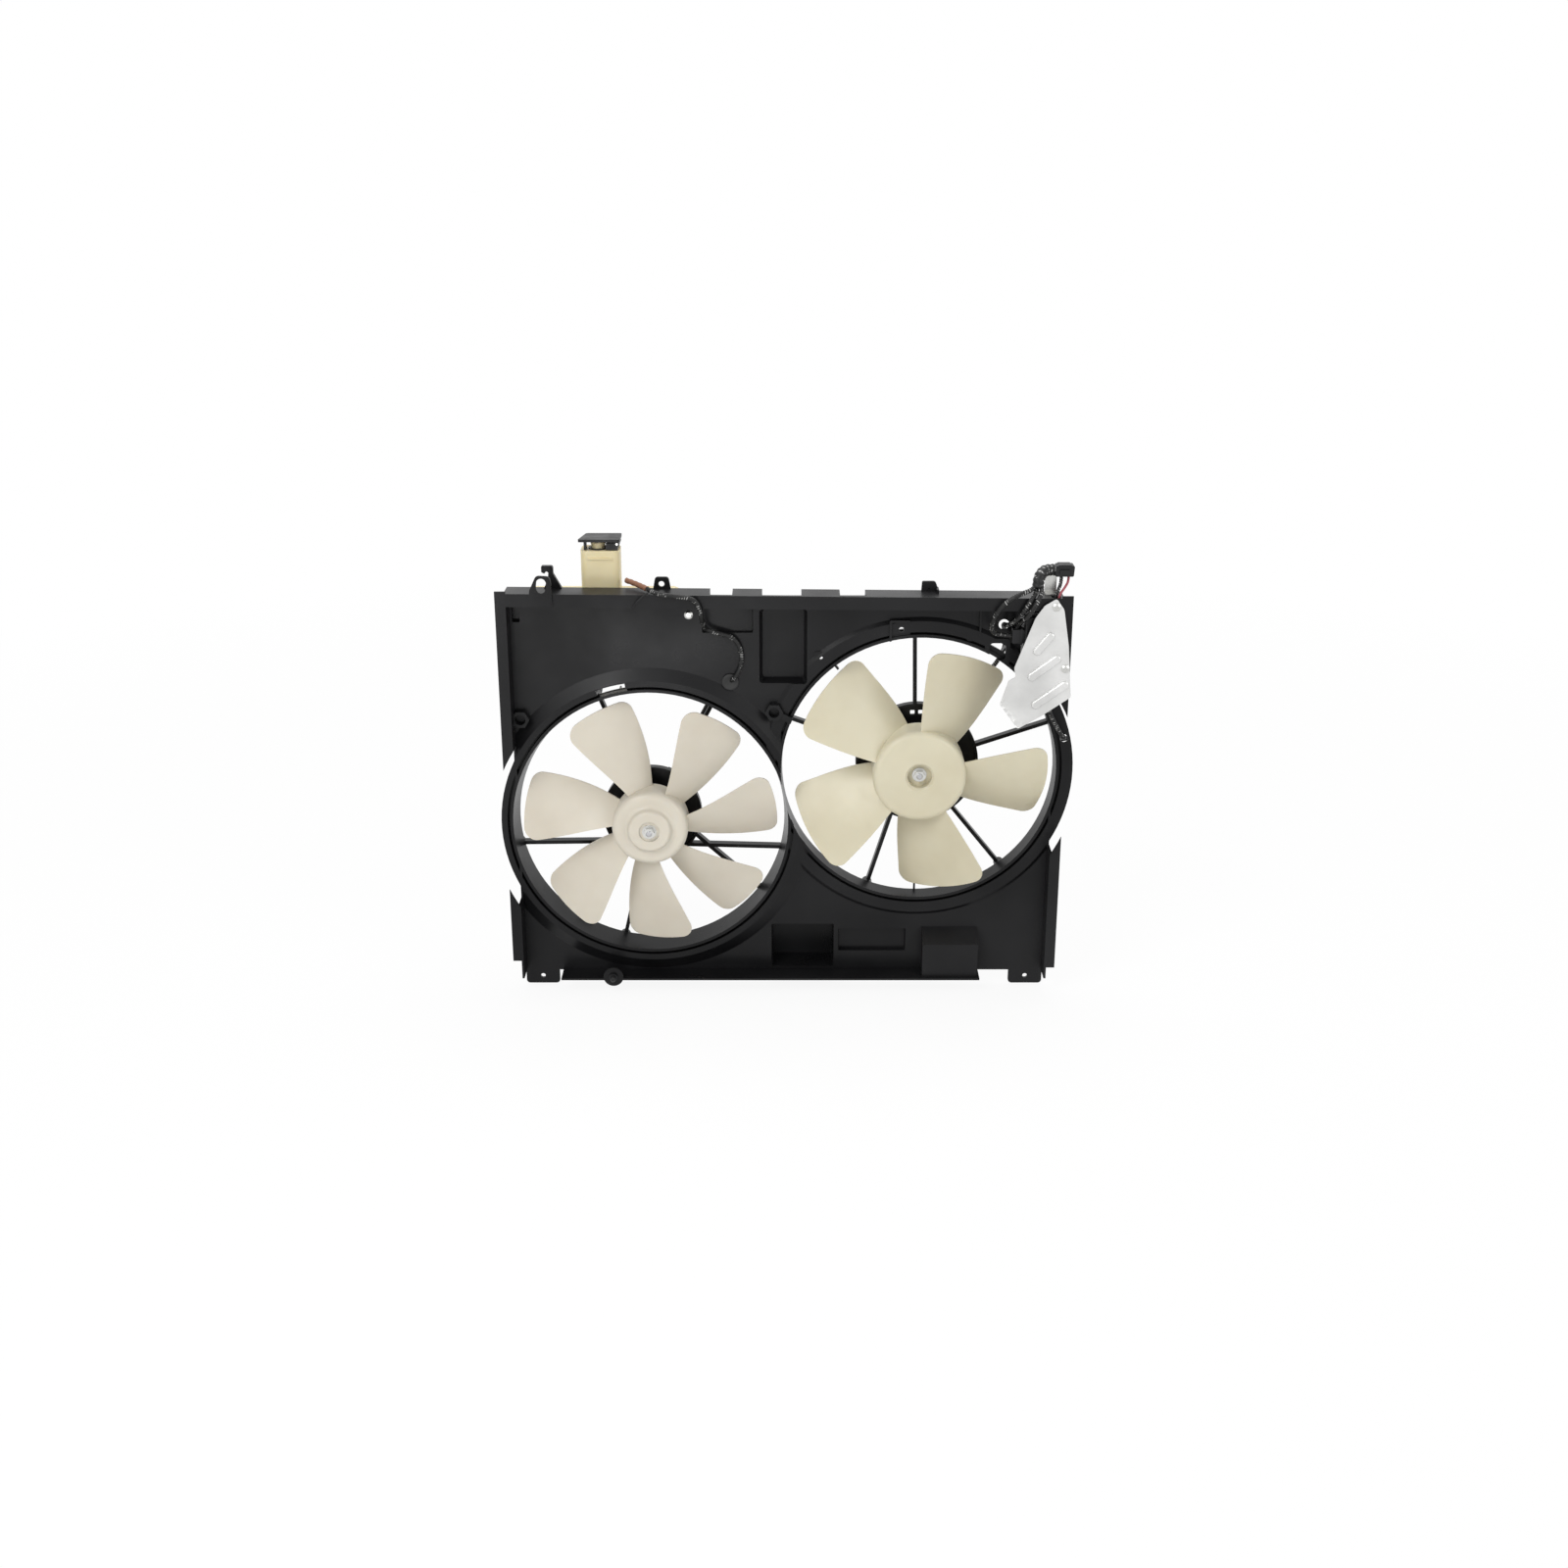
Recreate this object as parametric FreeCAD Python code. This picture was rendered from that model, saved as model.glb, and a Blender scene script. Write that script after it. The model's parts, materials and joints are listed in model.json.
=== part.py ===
import FreeCAD, Part
import math
import os
from collections import namedtuple

Vector = FreeCAD.Vector

# A twin radiator cooling fan: a moulded shroud with two ducted fans, their motors, an overflow
# tank, a fan controller under a heat shield, and the wiring between them.
# Millimetres. +X is to the right as the radiator sees it, +Y points to the engine, +Z is up.
# The origin lies midway between the two lower mounting holes, on the front face of the panel.

# Fits
RUNNING_FIT = 0.05
SEAT_GAP = 0.3

# The fan blades set the size of the ducts, their spacing and the width of the tray
TIP_RADIUS = 169.0
LEFT_TIP_GAP = 9.5
RIGHT_TIP_GAP = 11.5
AXIS_GAP = 9.0
SIDE_GAP = 6.0
LEFT_X = -TIP_RADIUS - AXIS_GAP
LEFT_Z = 227.0
RIGHT_X = TIP_RADIUS + AXIS_GAP
RIGHT_Z = 301.5

# Shroud tray
WALL = 2.8
TRAY_HALF_WIDTH = RIGHT_X + TIP_RADIUS + SIDE_GAP
TRAY_BOTTOM = 9.0
TRAY_DEPTH = 34.0
FLANGE_WIDTH = 14.0
LEFT_FLANGE_BOTTOM = 38.0
RIGHT_FLANGE_BOTTOM = 28.0
RAIL_TOP_LEFT = 549.0
RAIL_TOP_RIGHT = 543.0
RAIL_LIP = 17.0
RAIL_BACK = 4.0
RAIL_NOTCH_FLOOR = RAIL_TOP_RIGHT - 5.0
RAIL_NOTCHES = ((-94.7, -65.8), (-28.0, 22.2), (71.2, 103.9))
FLOOR_LEFT = 50.0 - TRAY_HALF_WIDTH
FLOOR_RIGHT = TRAY_HALF_WIDTH - 87.0
BACK_RIB = 6.0
BACK_RIB_THICKNESS = 1.8
BACK_RIB_PITCH = 62.0

# Fan ducts, from the lip at the front to the open end at the back
DUCT_LIP = 4.0
GROOVE_WIDTH = 3.5
GROOVE_FLOOR = 6.0
SKIRT_REAR = 22.0
GUSSET_THICKNESS = 2.0
GUSSET_COUNT = 16
GUSSET_REAR = 20.0
LEFT_DUCT_REAR = TIP_RADIUS + LEFT_TIP_GAP
LEFT_DUCT_FRONT = LEFT_DUCT_REAR + 5.0
LEFT_DUCT_END = 29.0
LEFT_RIM = LEFT_DUCT_REAR + 20.5
LEFT_RIM_RAISE = 8.0
LEFT_RIM_SLOPE = 16.0
RIGHT_DUCT_REAR = TIP_RADIUS + RIGHT_TIP_GAP
RIGHT_DUCT_FRONT = RIGHT_DUCT_REAR + 1.5
RIGHT_DUCT_END = 21.0
RIGHT_RIM = RIGHT_DUCT_REAR + 23.5
RIGHT_RIM_RAISE = 4.0
RIGHT_RIM_SLOPE = 5.0
DUCT_WINDOW = (98.6, 110.0)

# Lower mounting tabs and the locating pin
MOUNT_INSET = 21.0
MOUNT_SPACING = 2 * (TRAY_HALF_WIDTH - MOUNT_INSET)
MOUNT_HOLE_RADIUS = 3.3
MOUNT_TAB_WIDTH = 46.0
MOUNT_TAB_DROP = 11.0
MOUNT_TAB_THICKNESS = 4.0
PIN_X = -232.0
PIN_Z = 14.0
PIN_RADIUS = 3.6
PIN_TAB_RADIUS = 13.5
PIN_BOSS = 1.5

# Upper lugs
UPPER_LUG_X = 46.0 - TRAY_HALF_WIDTH
UPPER_LUG_Z = RAIL_TOP_LEFT + 11.0
UPPER_LUG_SLOT = 19.0
UPPER_LUG_SLOT_WIDTH = 12.5
SMALL_LUG_X = -157.0
SMALL_LUG_Z = RAIL_TOP_LEFT + 4.5
SMALL_LUG_HOLE = 3.8
BLANK_LUG_X = 187.0
BLANK_LUG_Z = RAIL_TOP_RIGHT + 13.0

# Pockets sunk into the panel, as (left, right, bottom, top) and then depth, draft and corner
CENTRE_RECESS = ((-32, 30, 421, 520), 16, 4, 4)
LOWER_RECESS = ((-17, 68, 14.5, 78), 40, 1.5, 2)
STRIP_RECESS = ((74, 166, 38, 71), 8, 1, 1.5)
LOOM_RECESS = ((-106, -40, 489, 526), 6, 1, 2)
CORNER_RECESS = ((2 - TRAY_HALF_WIDTH, 12 - TRAY_HALF_WIDTH, 503, 529), 10, 0.5, 1.5)
# A pocket raised from the panel, with the height of its sloping top
RAISED_POCKET = (188, 263, TRAY_BOTTOM + WALL / 2, 74)
RAISED_POCKET_SLOPE = 15.0
# Small hexagonal bosses, a drilled dimple and the square window
HEX_BOSSES = ((-13, 384), (8 - TRAY_HALF_WIDTH, 374))
HEX_BOSS_ACROSS = 21.0
HEX_BOSS_HEIGHT = 12.0
HEX_BOSS_BORE = 7.0
BOSS_ARM_LENGTH = 40.0
BOSS_ARM_ANGLE = -28.0
FRAME_HOLE = (151.5, 494, 3.5)
SMALL_HOLE = (48, 456, 2.4)
RIMMED_DIMPLE = (241, 485)
WINDOW = (266, 287, 453, 476)
WINDOW_BORDER = 6.0

# Motor stays: a ring that carries the motor, on spokes from the back of the duct
SPOKE_WIDTH = 5.0
SPOKE_FRONT = 30.0
SPOKE_REAR = 41.0
STAY_FRONT = 34.0
STAY_THICKNESS = 4.0
STAY_RIM_WALL = 3.0
LEFT_STAY_RADIUS = 67.0
RIGHT_STAY_RADIUS = 82.0
FOOT_OFFSET = 8.0
FOOT_RADIUS = 7.0
FOOT_BOSS_RADIUS = 6.5
FOOT_SCREW_RADIUS = 2.2
FOOT_SCREW_HEAD = 4.5
FOOT_SCREW_LENGTH = 12.0
# Each spoke is an angle at the motor and an angle at the duct, in degrees from +X
LEFT_SPOKES = ((112, 112), (62, 62), (-142, -167), (-43, -15), (-27, -37), (-103, -103))
RIGHT_SPOKES = ((93, 92), (17, 18), (-53, -52), (-114, -110), (160, 160))
# Short ribs that reach in from the back edge of a duct, as (angle, length, width)
LEFT_STUBS = ((-121, 9, 18),)
RIGHT_STUBS = ((129, 11, 2.5), (-90, 8, 2.5))
STUB_DEPTH = 7.0

# Fan wheels
BLADE_THICKNESS = 2.4
BLADE_CORNER = 16.0
HUB_WALL = 3.0
HUB_REAR = 12.0
LEFT_HUB_RADIUS = 50.5
LEFT_HUB_FACE = -29.0
RIGHT_HUB_RADIUS = 61.5
RIGHT_HUB_FACE = -32.0
# The middle of each blade's tip; the seven are spaced unevenly, which keeps the fan quiet
LEFT_BLADES = (-133.0, -85.5, -38.5, 10.5, 58.0, 115.0, 172.0)
RIGHT_BLADES = (-149.0, -77.0, -5.0, 67.0, 139.0)
LEFT_PITCH = (38.0, 15.0)
RIGHT_PITCH = (36.0, 26.0)
HUB_BOSS = 9.0
DOME_RADIUS = 27.0
DOME_HEIGHT = 9.0
NUT_SOCKET = 13.6
NUT_WELL = 16.0
RIGHT_NUT_SEAT = -19.5

# Motors
SHAFT_RADIUS = 4.0
LEFT_CAN_RADIUS = 40.0
RIGHT_CAN_RADIUS = 50.0
CAN_WALL = 1.8
CAN_FRONT = -11.0
CAN_REAR = 60.0
CAP_THICKNESS = 5.0
MAGNET_THICKNESS = 5.0
AIR_GAP = 0.8
CORE_FRONT = 2.0
CORE_REAR = 32.0
CORE_SLOTS = 12
COMMUTATOR_RADIUS = 11.0
BUSH_RADIUS = 9.0
MOTOR_EAR = 13.0
MOTOR_EAR_THICKNESS = 3.0
MOTOR_EAR_ANGLES = (40, 160, 280)
MOTOR_SCREW_RADIUS = 2.5
SHAFT_BODY = 5.0
SHAFT_SHOULDER = -15.0
SHAFT_END = 62.0
SLOT_RADIUS = 3.8
SLOT_DEPTH = 6.5
COMMUTATOR_FRONT = 39.0
COMMUTATOR_REAR = 50.0
BRUSH_FRONT = 41.5
CARD_THICKNESS = 2.0
FRONT_BUSH_REAR = -3.0
REAR_BUSH_FRONT = 54.0
NUT_ACROSS_FLATS = 13.0
NUT_HEIGHT = 6.5
WASHER_RADIUS = 9.5
WASHER_THICKNESS = 1.6

# Overflow tank and its cap
TANK_WIDTH = 204.0
TANK_LEFT = 15.0 - TRAY_HALF_WIDTH
TANK_RIGHT = TANK_LEFT + TANK_WIDTH
TANK_FRONT = 11.0
TANK_REAR = 60.0
TANK_TOP = RAIL_TOP_LEFT - 13.0
TANK_BOTTOM = TANK_TOP - 140.0
TANK_WALL = 2.5
NECK_WIDTH = 50.0
NECK_LEFT = TANK_LEFT + 77.0
NECK_RIGHT = NECK_LEFT + NECK_WIDTH
NECK_REAR = 47.0
NECK_TOP = TANK_TOP + 67.0
NECK_LEDGE = 11.0
SPOUT_X = NECK_LEFT + 22.0
SPOUT_Y = 28.0
SPOUT_RADIUS = 9.0
SPOUT_WALL = 2.0
SPOUT_HEIGHT = 9.0
SEAL_THICKNESS = 2.5
LID_BOTTOM = NECK_TOP + SEAT_GAP + SEAL_THICKNESS
LID_THICKNESS = 3.5
HINGE_X = NECK_RIGHT - 3.0
HINGE_Z = LID_BOTTOM - 3.8
HINGE_FRONT = 14.0
HINGE_REAR = 42.0
HINGE_PIN_RADIUS = 1.6
KNUCKLE_RADIUS = 3.4
TANK_CLEARANCE = 6.0
TANK_SCREW_RADIUS = 2.5
TANK_EARS = ((TANK_LEFT - 7, 455.0), (TANK_RIGHT + 11, 513.0))

# Heat shield, controller and its connector
SHIELD_FRONT = -TRAY_DEPTH - 5.2
SHIELD_THICKNESS = 1.0
CONTROLLER_WIDTH = 44.0
CONTROLLER_HEIGHT = 79.0
CONTROLLER_DEPTH = 27.0
CONTROLLER_RIGHT = TRAY_HALF_WIDTH - 3.0
CONTROLLER_LEFT = CONTROLLER_RIGHT - CONTROLLER_WIDTH
CONTROLLER_TOP = RAIL_TOP_RIGHT - 24.0
CONTROLLER_BOTTOM = CONTROLLER_TOP - CONTROLLER_HEIGHT
CONTROLLER_SEAT = -4.0
CONTROLLER_FRONT = CONTROLLER_SEAT - CONTROLLER_DEPTH
CONTROLLER_SCREWS = ((CONTROLLER_LEFT + 6, CONTROLLER_TOP + 6),
                     (CONTROLLER_RIGHT - 7, CONTROLLER_BOTTOM - 6))
CONTROLLER_SCREW_RADIUS = 2.0
CONTROLLER_PLUG_LENGTH = 14.0
CONTROLLER_PLUG_BOTTOM = CONTROLLER_TOP - 37.0
CONTROLLER_PLUG_HEIGHT = 18.0
SHIELD_SCREW_RADIUS = 2.5
# Places on the shield run from the side wall and the top of the rail
SHIELD_SCREW_OFFSETS = ((-8, -10), (7, -91))
SHIELD_OUTLINE = ((-8, 1), (-23, -8), (-34, -24), (-58.4, -90), (-56, -102), (-65, -107),
                  (-75, -139), (-51, -172), (-21.5, -155), (16, -129), (10, -61), (2, -13))
SHIELD_CORNERS = (3, 8, 20, 8, 3, 3, 3, 3, 10, 4, 40, 14)
SHIELD_BEADS = ((-22, -58, 36, 51), (-20, -90, 50, 37), (-11, -126, 56, 36))
TONGUE_LEFT = TRAY_HALF_WIDTH - 20.0
TONGUE_RIGHT = TRAY_HALF_WIDTH - 5.0
TONGUE_FRONT = -19.0
TONGUE_BACK = -6.0
TONGUE_THICKNESS = 1.5
TONGUE_HEIGHT = 26.0
LEAD_SLOT = (TRAY_HALF_WIDTH - 13, TRAY_HALF_WIDTH - 1, -30.4, -20.6)

# Wiring, with each route's points as (x, y, z) along its middle
LOOM_RADIUS = 3.2
TRUNK_RADIUS = 7.6
SIDE_LOOM_RADIUS = 3.0
LEAD_RADIUS = 1.6
LEFT_PLUG_ANGLE = 62.0
RIGHT_PLUG_ANGLE = 63.0
PLUG_LENGTH = 20.0
LOOM_HOLES = ((-70.0, 423.0, 9.0), (284.0, 500.0, 7.0), (368.6, 346.2, 5.6))
LEFT_MOTOR_ROUTE = ((-203, 10, 556), (-188, 0, 553.5), (-174, -22, 552.6), (-160, -38.5, 550),
                    (-136, -40.5, 547.5), (-115, -40, 545), (-106, -40.5, 532),
                    (-105, -37.5, 518.5), (-103, -20, 505), (-100, -7, 495), (-84, -6, 489.5),
                    (-65, -6, 485), (-56, -6.5, 470), (-54.5, -7, 451), (-60, -9, 436),
                    (-68, -3, 425.5), (-73, 14, 417), (-80, 34, 409), (-90, 49, 396),
                    (-103, 51, 375), (-117, 50, 347), (-130, 48, 322))
TRUNK_ROUTE = ((344, -16, 576), (334, -18, 577), (326, -26, 575), (321, -34, 568),
               (321, -34, 559))
SIGNAL_ROUTE = ((316.8, -36, 559), (312.5, -39.5, 555.5), (303, -43, 553), (290.5, -44.5, 547.5),
                (278, -43.5, 538), (268.5, -40, 524), (264, -33, 509), (265.5, -25, 497),
                (276, -20.5, 491.5))
RIGHT_MOTOR_ROUTE = ((321, -29.8, 559), (319, -36, 552), (314, -40.5, 545), (308, -43, 535.5),
                     (301, -41, 523.5), (293, -32, 511), (286, -16, 503), (284, 3, 500),
                     (286, 22, 492), (291, 40, 477), (293, 51, 458), (286, 54, 438),
                     (270, 53, 418), (248, 51, 403), (226, 48.5, 392))
CONTROLLER_ROUTE = ((325.2, -36, 559), (325.5, -40, 552), (321.5, -44, 544), (314.5, -45.5, 532),
                    (308, -43, 520.5), (302, -35, 513), (299.2, -26, 508.5))
SIDE_ROUTE = ((337, -22, 441.5), (338, -23, 424), (340, -22, 405), (345, -20, 388),
              (353, -17, 372), (361, -14, 358), (367, -9, 349), (369, 6, 345.5))
DARK_LEAD_ROUTE = ((352.5, -15, 569), (352.5, -18.5, 560), (347.5, -23, 550), (344, -24, 538),
                   (342.5, -24, 517.5))
RED_LEAD_ROUTE = ((362, -13, 569), (362, -17, 562), (356.5, -22, 554), (349.6, -26.8, 546.5),
                  (348.2, -26.8, 532), (346.9, -25, 517.2))

Fan = namedtuple("Fan", "name x z duct_front duct_rear duct_end rim raise_ slope hub hub_face "
                        "blades can stay spokes stubs")

LEFT = Fan(name="left", x=LEFT_X, z=LEFT_Z, duct_front=LEFT_DUCT_FRONT, duct_rear=LEFT_DUCT_REAR,
           duct_end=LEFT_DUCT_END, rim=LEFT_RIM, raise_=LEFT_RIM_RAISE, slope=LEFT_RIM_SLOPE,
           hub=LEFT_HUB_RADIUS, hub_face=LEFT_HUB_FACE, blades=LEFT_BLADES,
           can=LEFT_CAN_RADIUS, stay=LEFT_STAY_RADIUS, spokes=LEFT_SPOKES, stubs=LEFT_STUBS)
RIGHT = Fan(name="right", x=RIGHT_X, z=RIGHT_Z, duct_front=RIGHT_DUCT_FRONT,
            duct_rear=RIGHT_DUCT_REAR, duct_end=RIGHT_DUCT_END, rim=RIGHT_RIM,
            raise_=RIGHT_RIM_RAISE, slope=RIGHT_RIM_SLOPE, hub=RIGHT_HUB_RADIUS,
            hub_face=RIGHT_HUB_FACE, blades=RIGHT_BLADES, can=RIGHT_CAN_RADIUS,
            stay=RIGHT_STAY_RADIUS, spokes=RIGHT_SPOKES, stubs=RIGHT_STUBS)
FANS = (LEFT, RIGHT)


# Building blocks


def box(x0, x1, y0, y1, z0, z1):
    return Part.makeBox(x1 - x0, y1 - y0, z1 - z0, Vector(x0, y0, z0))


def drum(x, z, radius, y0, y1):
    """A cylinder along Y."""
    return Part.makeCylinder(radius, y1 - y0, Vector(x, y0, z), Vector(0, 1, 0))


def ring(x, z, inner, outer, y0, y1):
    return drum(x, z, outer, y0, y1).cut(drum(x, z, inner, y0 - 1, y1 + 1))


def turned(x, z, profile, radius=0.0):
    """A closed profile of (radius, y) points, turned about the Y axis through (x, z)."""
    face = Part.Face(corner_wire([Vector(x + r, y, z) for r, y in profile], radius))
    return face.revolve(Vector(x, 0, z), Vector(0, 1, 0), 360)


def about(shape, x, z, degrees):
    """A copy turned about the Y axis through (x, z); positive runs from +X towards +Z."""
    copy = shape.copy()
    copy.rotate(Vector(x, 0, z), Vector(0, 1, 0), -degrees)
    return copy


def around(shape, x, z, count, start=0.0):
    return [about(shape, x, z, start + i * 360.0 / count) for i in range(count)]


def fuse(shapes):
    first = shapes[0]
    return first.fuse(shapes[1:]).removeSplitter() if len(shapes) > 1 else first


def corner_wire(points, radius):
    """A closed flat wire through the points, each corner an arc of the given radius or radii."""
    count = len(points)
    radii = radius if isinstance(radius, (list, tuple)) else [radius] * count
    corners = []
    for i in range(count):
        here = points[i]
        back = points[i - 1].sub(here).normalize()
        ahead = points[(i + 1) % count].sub(here).normalize()
        half = back.getAngle(ahead) / 2
        if radii[i] <= 0:
            corners.append((here, None, here))
            continue
        setback = radii[i] / math.tan(half)
        bisector = back.add(ahead).normalize()
        middle = here.add(bisector * (radii[i] / math.sin(half) - radii[i]))
        corners.append((here.add(back * setback), middle, here.add(ahead * setback)))
    edges = []
    for i in range(count):
        start, middle, end = corners[i]
        if middle is not None:
            edges.append(Part.Arc(start, middle, end).toShape())
        following = corners[(i + 1) % count][0]
        if end.distanceToPoint(following) > 0.001:
            edges.append(Part.LineSegment(end, following).toShape())
    return Part.Wire(edges)


def rounded_outline(points, radius, y=0.0):
    """A closed wire through (x, z) points at one depth, with rounded corners."""
    return corner_wire([Vector(x, y, z) for x, z in points], radius)


def plate(points, y0, y1, radius=0.0):
    """A flat plate across Y with an outline of (x, z) points."""
    return Part.Face(rounded_outline(points, radius, y0)).extrude(Vector(0, y1 - y0, 0))


def rectangle(x0, x1, z0, z1):
    return [(x0, z0), (x1, z0), (x1, z1), (x0, z1)]


def block(x0, x1, y0, y1, z0, z1, radius):
    """A box whose four edges along Y are rounded."""
    return plate(rectangle(x0, x1, z0, z1), y0, y1, radius)


def frustum(x0, x1, z0, z1, y0, y1, draft, radius):
    """A rounded rectangle at y0 that narrows by the draft on every side to y1."""
    wide = rounded_outline(rectangle(x0, x1, z0, z1), radius, y0)
    narrow = rounded_outline(rectangle(x0 + draft, x1 - draft, z0 + draft, z1 - draft), radius, y1)
    return Part.makeLoft([wide, narrow], True, True)


def slotted(x, z, length, width, y0, y1, degrees=0.0):
    """A round-ended slot; its length runs along X before it is turned."""
    half = (length - width) / 2
    middle = box(x - half, x + half, y0, y1, z - width / 2, z + width / 2)
    ends = [drum(x + side * half, z, width / 2, y0, y1) for side in (-1, 1)]
    return about(fuse([middle] + ends), x, z, degrees)


def hexagon(x, z, across_flats, y0, y1):
    radius = across_flats / math.sqrt(3)
    points = [(x + radius * math.cos(math.radians(a)), z + radius * math.sin(math.radians(a)))
              for a in range(0, 360, 60)]
    return plate(points, y0, y1)


def polar(fan, radius, degrees):
    a = math.radians(degrees)
    return fan.x + radius * math.cos(a), fan.z + radius * math.sin(a)


# Shroud


def rail_top(x):
    """The height of the top rail, which falls to the right."""
    share = (x + TRAY_HALF_WIDTH) / (2 * TRAY_HALF_WIDTH)
    return RAIL_TOP_LEFT + share * (RAIL_TOP_RIGHT - RAIL_TOP_LEFT)


def duct(fan):
    """The duct wall with its lip, the groove round it, the raised rim and the rear skirt."""
    front = -fan.raise_
    lip = fan.duct_front + DUCT_LIP
    groove = lip + GROOVE_WIDTH
    floor_back = GROOVE_FLOOR + WALL
    share = (floor_back - front) / (fan.duct_end - front)
    behind_floor = lip + share * (fan.duct_rear + WALL - lip)
    return turned(fan.x, fan.z, [
        (fan.duct_front, front), (lip, front), (lip, GROOVE_FLOOR), (groove, GROOVE_FLOOR),
        (groove, front), (fan.rim, front), (fan.rim, SKIRT_REAR), (fan.rim - WALL, SKIRT_REAR),
        (fan.rim - WALL, front + WALL), (groove + WALL, front + WALL), (groove + WALL, floor_back),
        (behind_floor, floor_back), (fan.duct_rear + WALL, fan.duct_end),
        (fan.duct_rear, fan.duct_end)])


def rim_slope(fan):
    """The sloped wall that lifts the rim from the panel."""
    outer = fan.rim + fan.slope
    inner = fan.rim - WALL / 2
    return turned(fan.x, fan.z, [(inner, -fan.raise_), (fan.rim, -fan.raise_), (outer, 0),
                                 (outer, WALL), (inner, WALL - fan.raise_)])


def duct_gussets(fan):
    """Radial ribs behind the duct, apart from where it meets the other fan's duct."""
    inner = fan.duct_rear + WALL / 2
    outer = fan.rim - WALL / 2
    half = GUSSET_THICKNESS / 2
    one = box(fan.x + inner, fan.x + outer, GROOVE_FLOOR + WALL / 2, GUSSET_REAR,
              fan.z - half, fan.z + half)
    other = RIGHT if fan is LEFT else LEFT
    step = 360.0 / GUSSET_COUNT
    angles = [step * (i + 0.5) for i in range(GUSSET_COUNT)]
    return [about(one, fan.x, fan.z, angle) for angle in angles
            if math.dist(polar(fan, fan.rim, angle), (other.x, other.z)) > other.rim + 6]


def duct_bore(fan):
    """The air space of the duct, from in front of the tray to behind the duct."""
    reach = 30.0
    return turned(fan.x, fan.z, [
        (0, -TRAY_DEPTH - reach), (fan.duct_front, -TRAY_DEPTH - reach),
        (fan.duct_front, -fan.raise_), (fan.duct_rear, fan.duct_end),
        (fan.duct_rear, fan.duct_end + reach), (0, fan.duct_end + reach)])


def duct_window(fan):
    """The slot through the rim, left of the top of the left duct."""
    start, end = DUCT_WINDOW
    inner = fan.duct_front + DUCT_LIP + 0.5
    sector = ring(fan.x, fan.z, inner, fan.rim - 1.2, -fan.raise_ - 1, fan.duct_end + 1)
    far = 2 * fan.rim
    wedge = plate([(fan.x, fan.z), polar(fan, far, start), polar(fan, far, end)],
                  -fan.raise_ - 2, fan.duct_end + 2)
    return sector.common(wedge)


def panel_sheet():
    half = TRAY_HALF_WIDTH + WALL
    sheet = plate([(-half, TRAY_BOTTOM), (half, TRAY_BOTTOM), (half, rail_top(half) - WALL),
                   (-half, rail_top(-half) - WALL)], 0, WALL)
    for fan in FANS:
        sheet = sheet.cut(drum(fan.x, fan.z, fan.rim + fan.slope - 1.5, -1, WALL + 1))
    return sheet


def side_walls():
    """The walls and outward flanges that seal against the radiator."""
    walls = []
    for side in (-1, 1):
        top = rail_top(side * TRAY_HALF_WIDTH)
        inner = side * TRAY_HALF_WIDTH
        outer = side * (TRAY_HALF_WIDTH + WALL)
        edge = side * (TRAY_HALF_WIDTH + FLANGE_WIDTH)
        flange_bottom = LEFT_FLANGE_BOTTOM if side < 0 else RIGHT_FLANGE_BOTTOM
        walls.append(box(min(inner, outer), max(inner, outer), -TRAY_DEPTH, WALL,
                         TRAY_BOTTOM + WALL, top))
        walls.append(box(min(inner, edge), max(inner, edge), -TRAY_DEPTH, WALL - TRAY_DEPTH,
                         flange_bottom, top + WALL))
    body = fuse(walls)
    for fan in FANS:
        body = body.cut(drum(fan.x, fan.z, fan.rim + fan.slope / 2, -TRAY_DEPTH - 1, -fan.raise_))
    return body


def top_rail():
    """The rail along the top: a shelf with a hanging lip, cut back in three notches."""
    half = TRAY_HALF_WIDTH + WALL
    high_left = rail_top(-half)
    high_right = rail_top(half)
    shelf = plate([(-half, high_left - WALL), (half, high_right - WALL), (half, high_right),
                   (-half, high_left)], -TRAY_DEPTH, RAIL_BACK)
    lip = plate([(-half, high_left - RAIL_LIP), (half, high_right - RAIL_LIP),
                 (half, high_right), (-half, high_left)], -TRAY_DEPTH, WALL - TRAY_DEPTH)
    return fuse([shelf, lip])


def rail_cuts():
    """The three notches behind the lip, and the slot that leads pass down through."""
    front = 2 * WALL - TRAY_DEPTH
    cuts = [box(x0, x1, front, RAIL_BACK + 1, RAIL_NOTCH_FLOOR, RAIL_TOP_LEFT + 1)
            for x0, x1 in RAIL_NOTCHES]
    x0, x1, y0, y1 = LEAD_SLOT
    cuts.append(box(x0, x1, y0, y1, RAIL_NOTCH_FLOOR - 1, RAIL_TOP_LEFT + 1))
    return cuts


def tray_floor():
    return box(FLOOR_LEFT, FLOOR_RIGHT, -TRAY_DEPTH, WALL, TRAY_BOTTOM, TRAY_BOTTOM + WALL)


def mounting_tabs():
    tabs = []
    for side in (-1, 1):
        x = side * MOUNT_SPACING / 2
        half = MOUNT_TAB_WIDTH / 2
        tab = plate([(x - half, -MOUNT_TAB_DROP), (x + half, -MOUNT_TAB_DROP),
                     (x + half, TRAY_BOTTOM + 8), (x - half, TRAY_BOTTOM + 8)],
                    0, MOUNT_TAB_THICKNESS, [5, 5, 0, 0])
        tabs.append(tab)
    pin_tab = drum(PIN_X, PIN_Z, PIN_TAB_RADIUS, -TRAY_DEPTH, WALL - TRAY_DEPTH)
    pin_boss = drum(PIN_X, PIN_Z, PIN_RADIUS + 2.4, -TRAY_DEPTH - PIN_BOSS, WALL - TRAY_DEPTH)
    return tabs + [pin_tab, pin_boss]


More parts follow.
